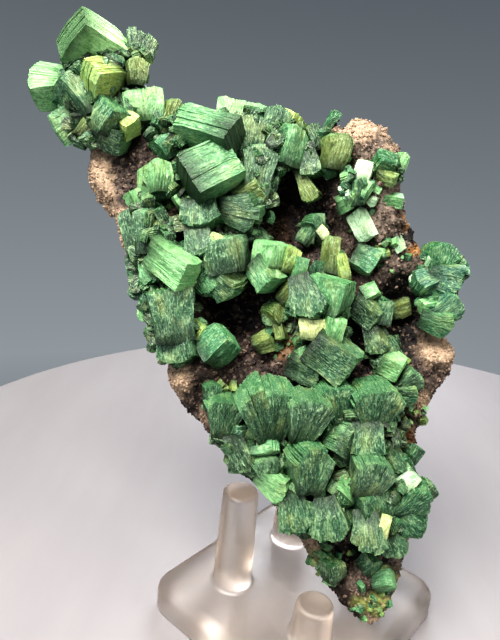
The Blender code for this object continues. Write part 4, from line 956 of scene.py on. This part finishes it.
def books_tree():
    """Instance plates on points, bow and narrow them, chip their edges, and finish as mesh."""
    tree, add, given, result = new_tree("plate_books", {
        "Plate": "Object", "Chip": "Float", "Chip Rate": "Float", "Warp": "Float",
        "Warp Rate": "Float", "Material": "Material"})
    turn, size, bend, narrow, grain, layer = (
        add("GeometryNodeInputNamedAttribute", {"Name": name}, data_type=kind).outputs["Attribute"]
        for name, kind in (("turn", "QUATERNION"), ("size", "FLOAT_VECTOR"), ("bend", "FLOAT"),
                           ("narrow", "FLOAT"), ("grain", "FLOAT_VECTOR"), ("layer", "FLOAT_VECTOR")))
    plate = add("GeometryNodeObjectInfo", {"Object": given["Plate"]})
    placed = add("GeometryNodeInstanceOnPoints",
                 {"Points": given["Geometry"], "Instance": plate.outputs["Geometry"],
                  "Rotation": turn, "Scale": size})
    solid = add("GeometryNodeRealizeInstances", {"Geometry": placed})
    along = add("ShaderNodeSeparateXYZ", {"Vector": grain}).outputs["X"]
    reach = add("ShaderNodeMath", {0: along, 1: 0.5}, operation="ADD")
    curl = add("ShaderNodeMath", {0: reach, 1: 2.0}, operation="POWER")
    bow = add("ShaderNodeMath", {0: curl, 1: bend}, operation="MULTIPLY")
    on_plate = add("ShaderNodeVectorMath", {0: grain, 1: size}, operation="MULTIPLY")
    across = add("ShaderNodeSeparateXYZ", {"Vector": on_plate}).outputs["Z"]
    past = add("ShaderNodeMath", {0: reach, 1: WIDEST}, operation="SUBTRACT")
    round_off = add("ShaderNodeMath", {0: past, 1: past}, operation="MULTIPLY")
    pull = add("ShaderNodeMath", {0: round_off, 1: narrow}, operation="MULTIPLY")
    pinch = add("ShaderNodeMath", {0: pull, 1: across}, operation="MULTIPLY")
    local = add("ShaderNodeCombineXYZ", {"Y": bow, "Z": pinch})
    turned = add("FunctionNodeRotateVector", {"Vector": local, "Rotation": turn})
    worn = add("GeometryNodeSetPosition", {"Geometry": solid, "Offset": turned})
    position = add("GeometryNodeInputPosition")
    for amount, rate in (("Warp", "Warp Rate"), ("Chip", "Chip Rate")):
        wear = add("ShaderNodeTexNoise",
                   {"Vector": position, "Scale": given[rate], "Detail": 1.0}).outputs["Color"]
        centred = add("ShaderNodeVectorMath", {0: wear, 1: (0.5, 0.5, 0.5)}, operation="SUBTRACT")
        shift = add("ShaderNodeVectorMath", {0: centred, "Scale": given[amount]}, operation="SCALE")
        worn = add("GeometryNodeSetPosition", {"Geometry": worn, "Offset": shift})
    millimetres = add("ShaderNodeVectorMath", {0: on_plate, "Scale": 1.0 / MM}, operation="SCALE")
    book_place = add("ShaderNodeVectorMath", {0: millimetres, 1: layer}, operation="ADD")
    stored = add("GeometryNodeStoreNamedAttribute",
                 {"Geometry": worn, "Name": "book_place", "Value": book_place},
                 data_type="FLOAT_VECTOR", domain="POINT")
    finished = add("GeometryNodeSetMaterial", {"Geometry": stored, "Material": given["Material"]})
    set_inputs(result, {"Geometry": finished})
    return tree


def platy_metatorbernite():
    """Metatorbernite, a green uranium mica: pearly on the plates' faces, finely fibrous on their
    edges, whitish where plates have dried and split, and darker down towards the roots, which is
    painted shade of the crevices between the books."""
    material, add, shader = new_material("platy_metatorbernite", ior=1.59)
    tint, grain, book = (
        add("ShaderNodeAttribute", attribute_name=name).outputs[output]
        for name, output in (("tint", "Color"), ("grain", "Vector"), ("book_place", "Vector")))
    rib, hair, band, mottle, fine, stain = (
        add("ShaderNodeTexNoise", {
            "Vector": add("ShaderNodeMapping", {"Vector": book, "Scale": rates}),
            "Scale": 1.0, "Detail": detail, "Roughness": 0.65})
        for rates, detail in (((0.6, 3.4, 2.6), 4.0), ((1.3, 7.5, 6.0), 3.0),
                              ((0.12, 0.9, 0.3), 2.0), ((0.6, 0.7, 0.6), 5.0),
                              ((2.6, 3.0, 2.6), 4.0), ((0.22, 0.3, 0.22), 3.0)))
    along = add("ShaderNodeSeparateXYZ", {"Vector": grain}).outputs["X"]
    colour = painted(
        add, tint,
        (band, 0.47, 0.33, 0.4, "MULTIPLY", "#6aa683"), (band, 0.6, 0.74, 0.35, "MIX", "#a2ba80"),
        (stain, 0.52, 0.68, 0.4, "MIX", "#9da264"), (stain, 0.46, 0.34, 0.5, "MULTIPLY", "#66a578"),
        (mottle, 0.46, 0.3, 0.55, "MULTIPLY", "#4f8a60"), (mottle, 0.52, 0.7, 0.5, "MIX", "#bcd6a4"),
        (rib, 0.5, 0.34, 0.45, "MULTIPLY", "#4f8a5c"), (rib, 0.54, 0.72, 0.34, "MIX", "#a2cf98"),
        (hair, 0.5, 0.36, 0.4, "MULTIPLY", "#4a7d55"), (hair, 0.54, 0.66, 0.4, "MIX", "#b2d9ab"),
        (fine, 0.45, 0.32, 0.5, "MULTIPLY", "#477a54"), (fine, 0.56, 0.7, 0.5, "MIX", "#c8e6b8"),
        # the last layer darkens each plate towards its root: painted shade of the crevices between books
        (along, 0.42, 0.5, 0.3, "MIX", "#58965e"), (along, 0.05, -0.5, 0.9, "MULTIPLY", "#35543f"))
    waxy = add("ShaderNodeMapRange", {"Value": rib, "From Min": 0.35, "From Max": 0.7,
                                      "To Min": 0.38, "To Max": 0.62})
    relief = add("ShaderNodeMix", {0: 0.35, 2: rib, 3: fine})
    bump = add("ShaderNodeBump", {"Height": relief, "Strength": 1.0, "Distance": 0.35 * MM})
    set_inputs(shader, {"Base Color": colour, "Roughness": waxy, "Normal": bump})
    return material


plate = plate_prototype()
books = books_tree()
crystal_green = platy_metatorbernite()


def grown_piece(name, plates):
    """The plates' points turned into one crystal piece that stands on the root body."""
    item = add_object(name, plates.mesh(name))
    grow_by_nodes(item, books, {"Plate": plate, "Chip": CHIP * MM, "Chip Rate": 1.0 / (CHIP_SIZE * MM),
                                "Warp": WARP * MM, "Warp Rate": 1.0 / (WARP_SIZE * MM),
                                "Material": crystal_green})
    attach(item, "root")
    return item


for number_in_row, (node, rows) in enumerate(CLUSTERS.items()):
    dice = np.random.default_rng(CRYSTAL_SEED + number_in_row)
    plates = Plates()
    add_placed_books(plates, rows, dice)
    for root in CLUSTER_ROOTS[node]:
        # the other mounds' small crystals are tinted dark as painted shade of the crevices between books
        kind = LIGHT_CRYSTALS if node in LIGHT_MOUNDS else MOUND_CRYSTALS_IN_PAINTED_SHADE
        add_mound_crystals(plates, root, dice, *kind)
    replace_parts(grown_piece(f"{node}_books", plates), node)

# Single crystals and specks of the same mineral sit straight on the rock. A speck is put where a
# line of sight from the eye through a chance place of its group meets the rock.
SPECK_COLOURS = ("mid", "bright", "teal", "yellow", "pale", "olive")
SPECK_SPREAD = 0.5             # of the specks about their group's centre, as a share of its radii
SPECK_LIFT = 0.2               # of a speck's middle off the rock, as a share of its length
dice = np.random.default_rng(CRYSTAL_SEED)
plates = Plates()
add_placed_books(plates, LONE_CRYSTALS, dice)
surface = BVHTree.FromPolygons([vert.co for vert in matrix_rock.data.vertices],
                               [polygon.vertices for polygon in matrix_rock.data.polygons])
eye = FACE @ Vector(EYE) * MM
for u, v, radius_u, radius_v, amount, smallest, largest in SPECKS:
    for _ in range(amount):
        aim = Vector((u + dice.normal(0.0, SPECK_SPREAD) * radius_u,
                      v + dice.normal(0.0, SPECK_SPREAD) * radius_v, 0.0))
        hit, normal, _, _ = surface.ray_cast(eye, FACE @ aim * MM - eye)
        if hit is None:
            continue
        outward = FACE.to_3x3().inverted() @ normal
        length = dice.uniform(smallest, largest)
        tint = chance_tint(dice, SPECK_COLOURS)
        add_book(plates, FACE.inverted() @ (hit / MM) + outward * length * SPECK_LIFT,
                 chance_axes(dice, outward),
                 (length, length * dice.uniform(0.4, 0.8), length * dice.uniform(0.6, 1.0)), 0.0,
                 tint, dice)
grown_piece("single_crystals", plates)
bpy.data.objects.remove(plate, do_unlink=True)
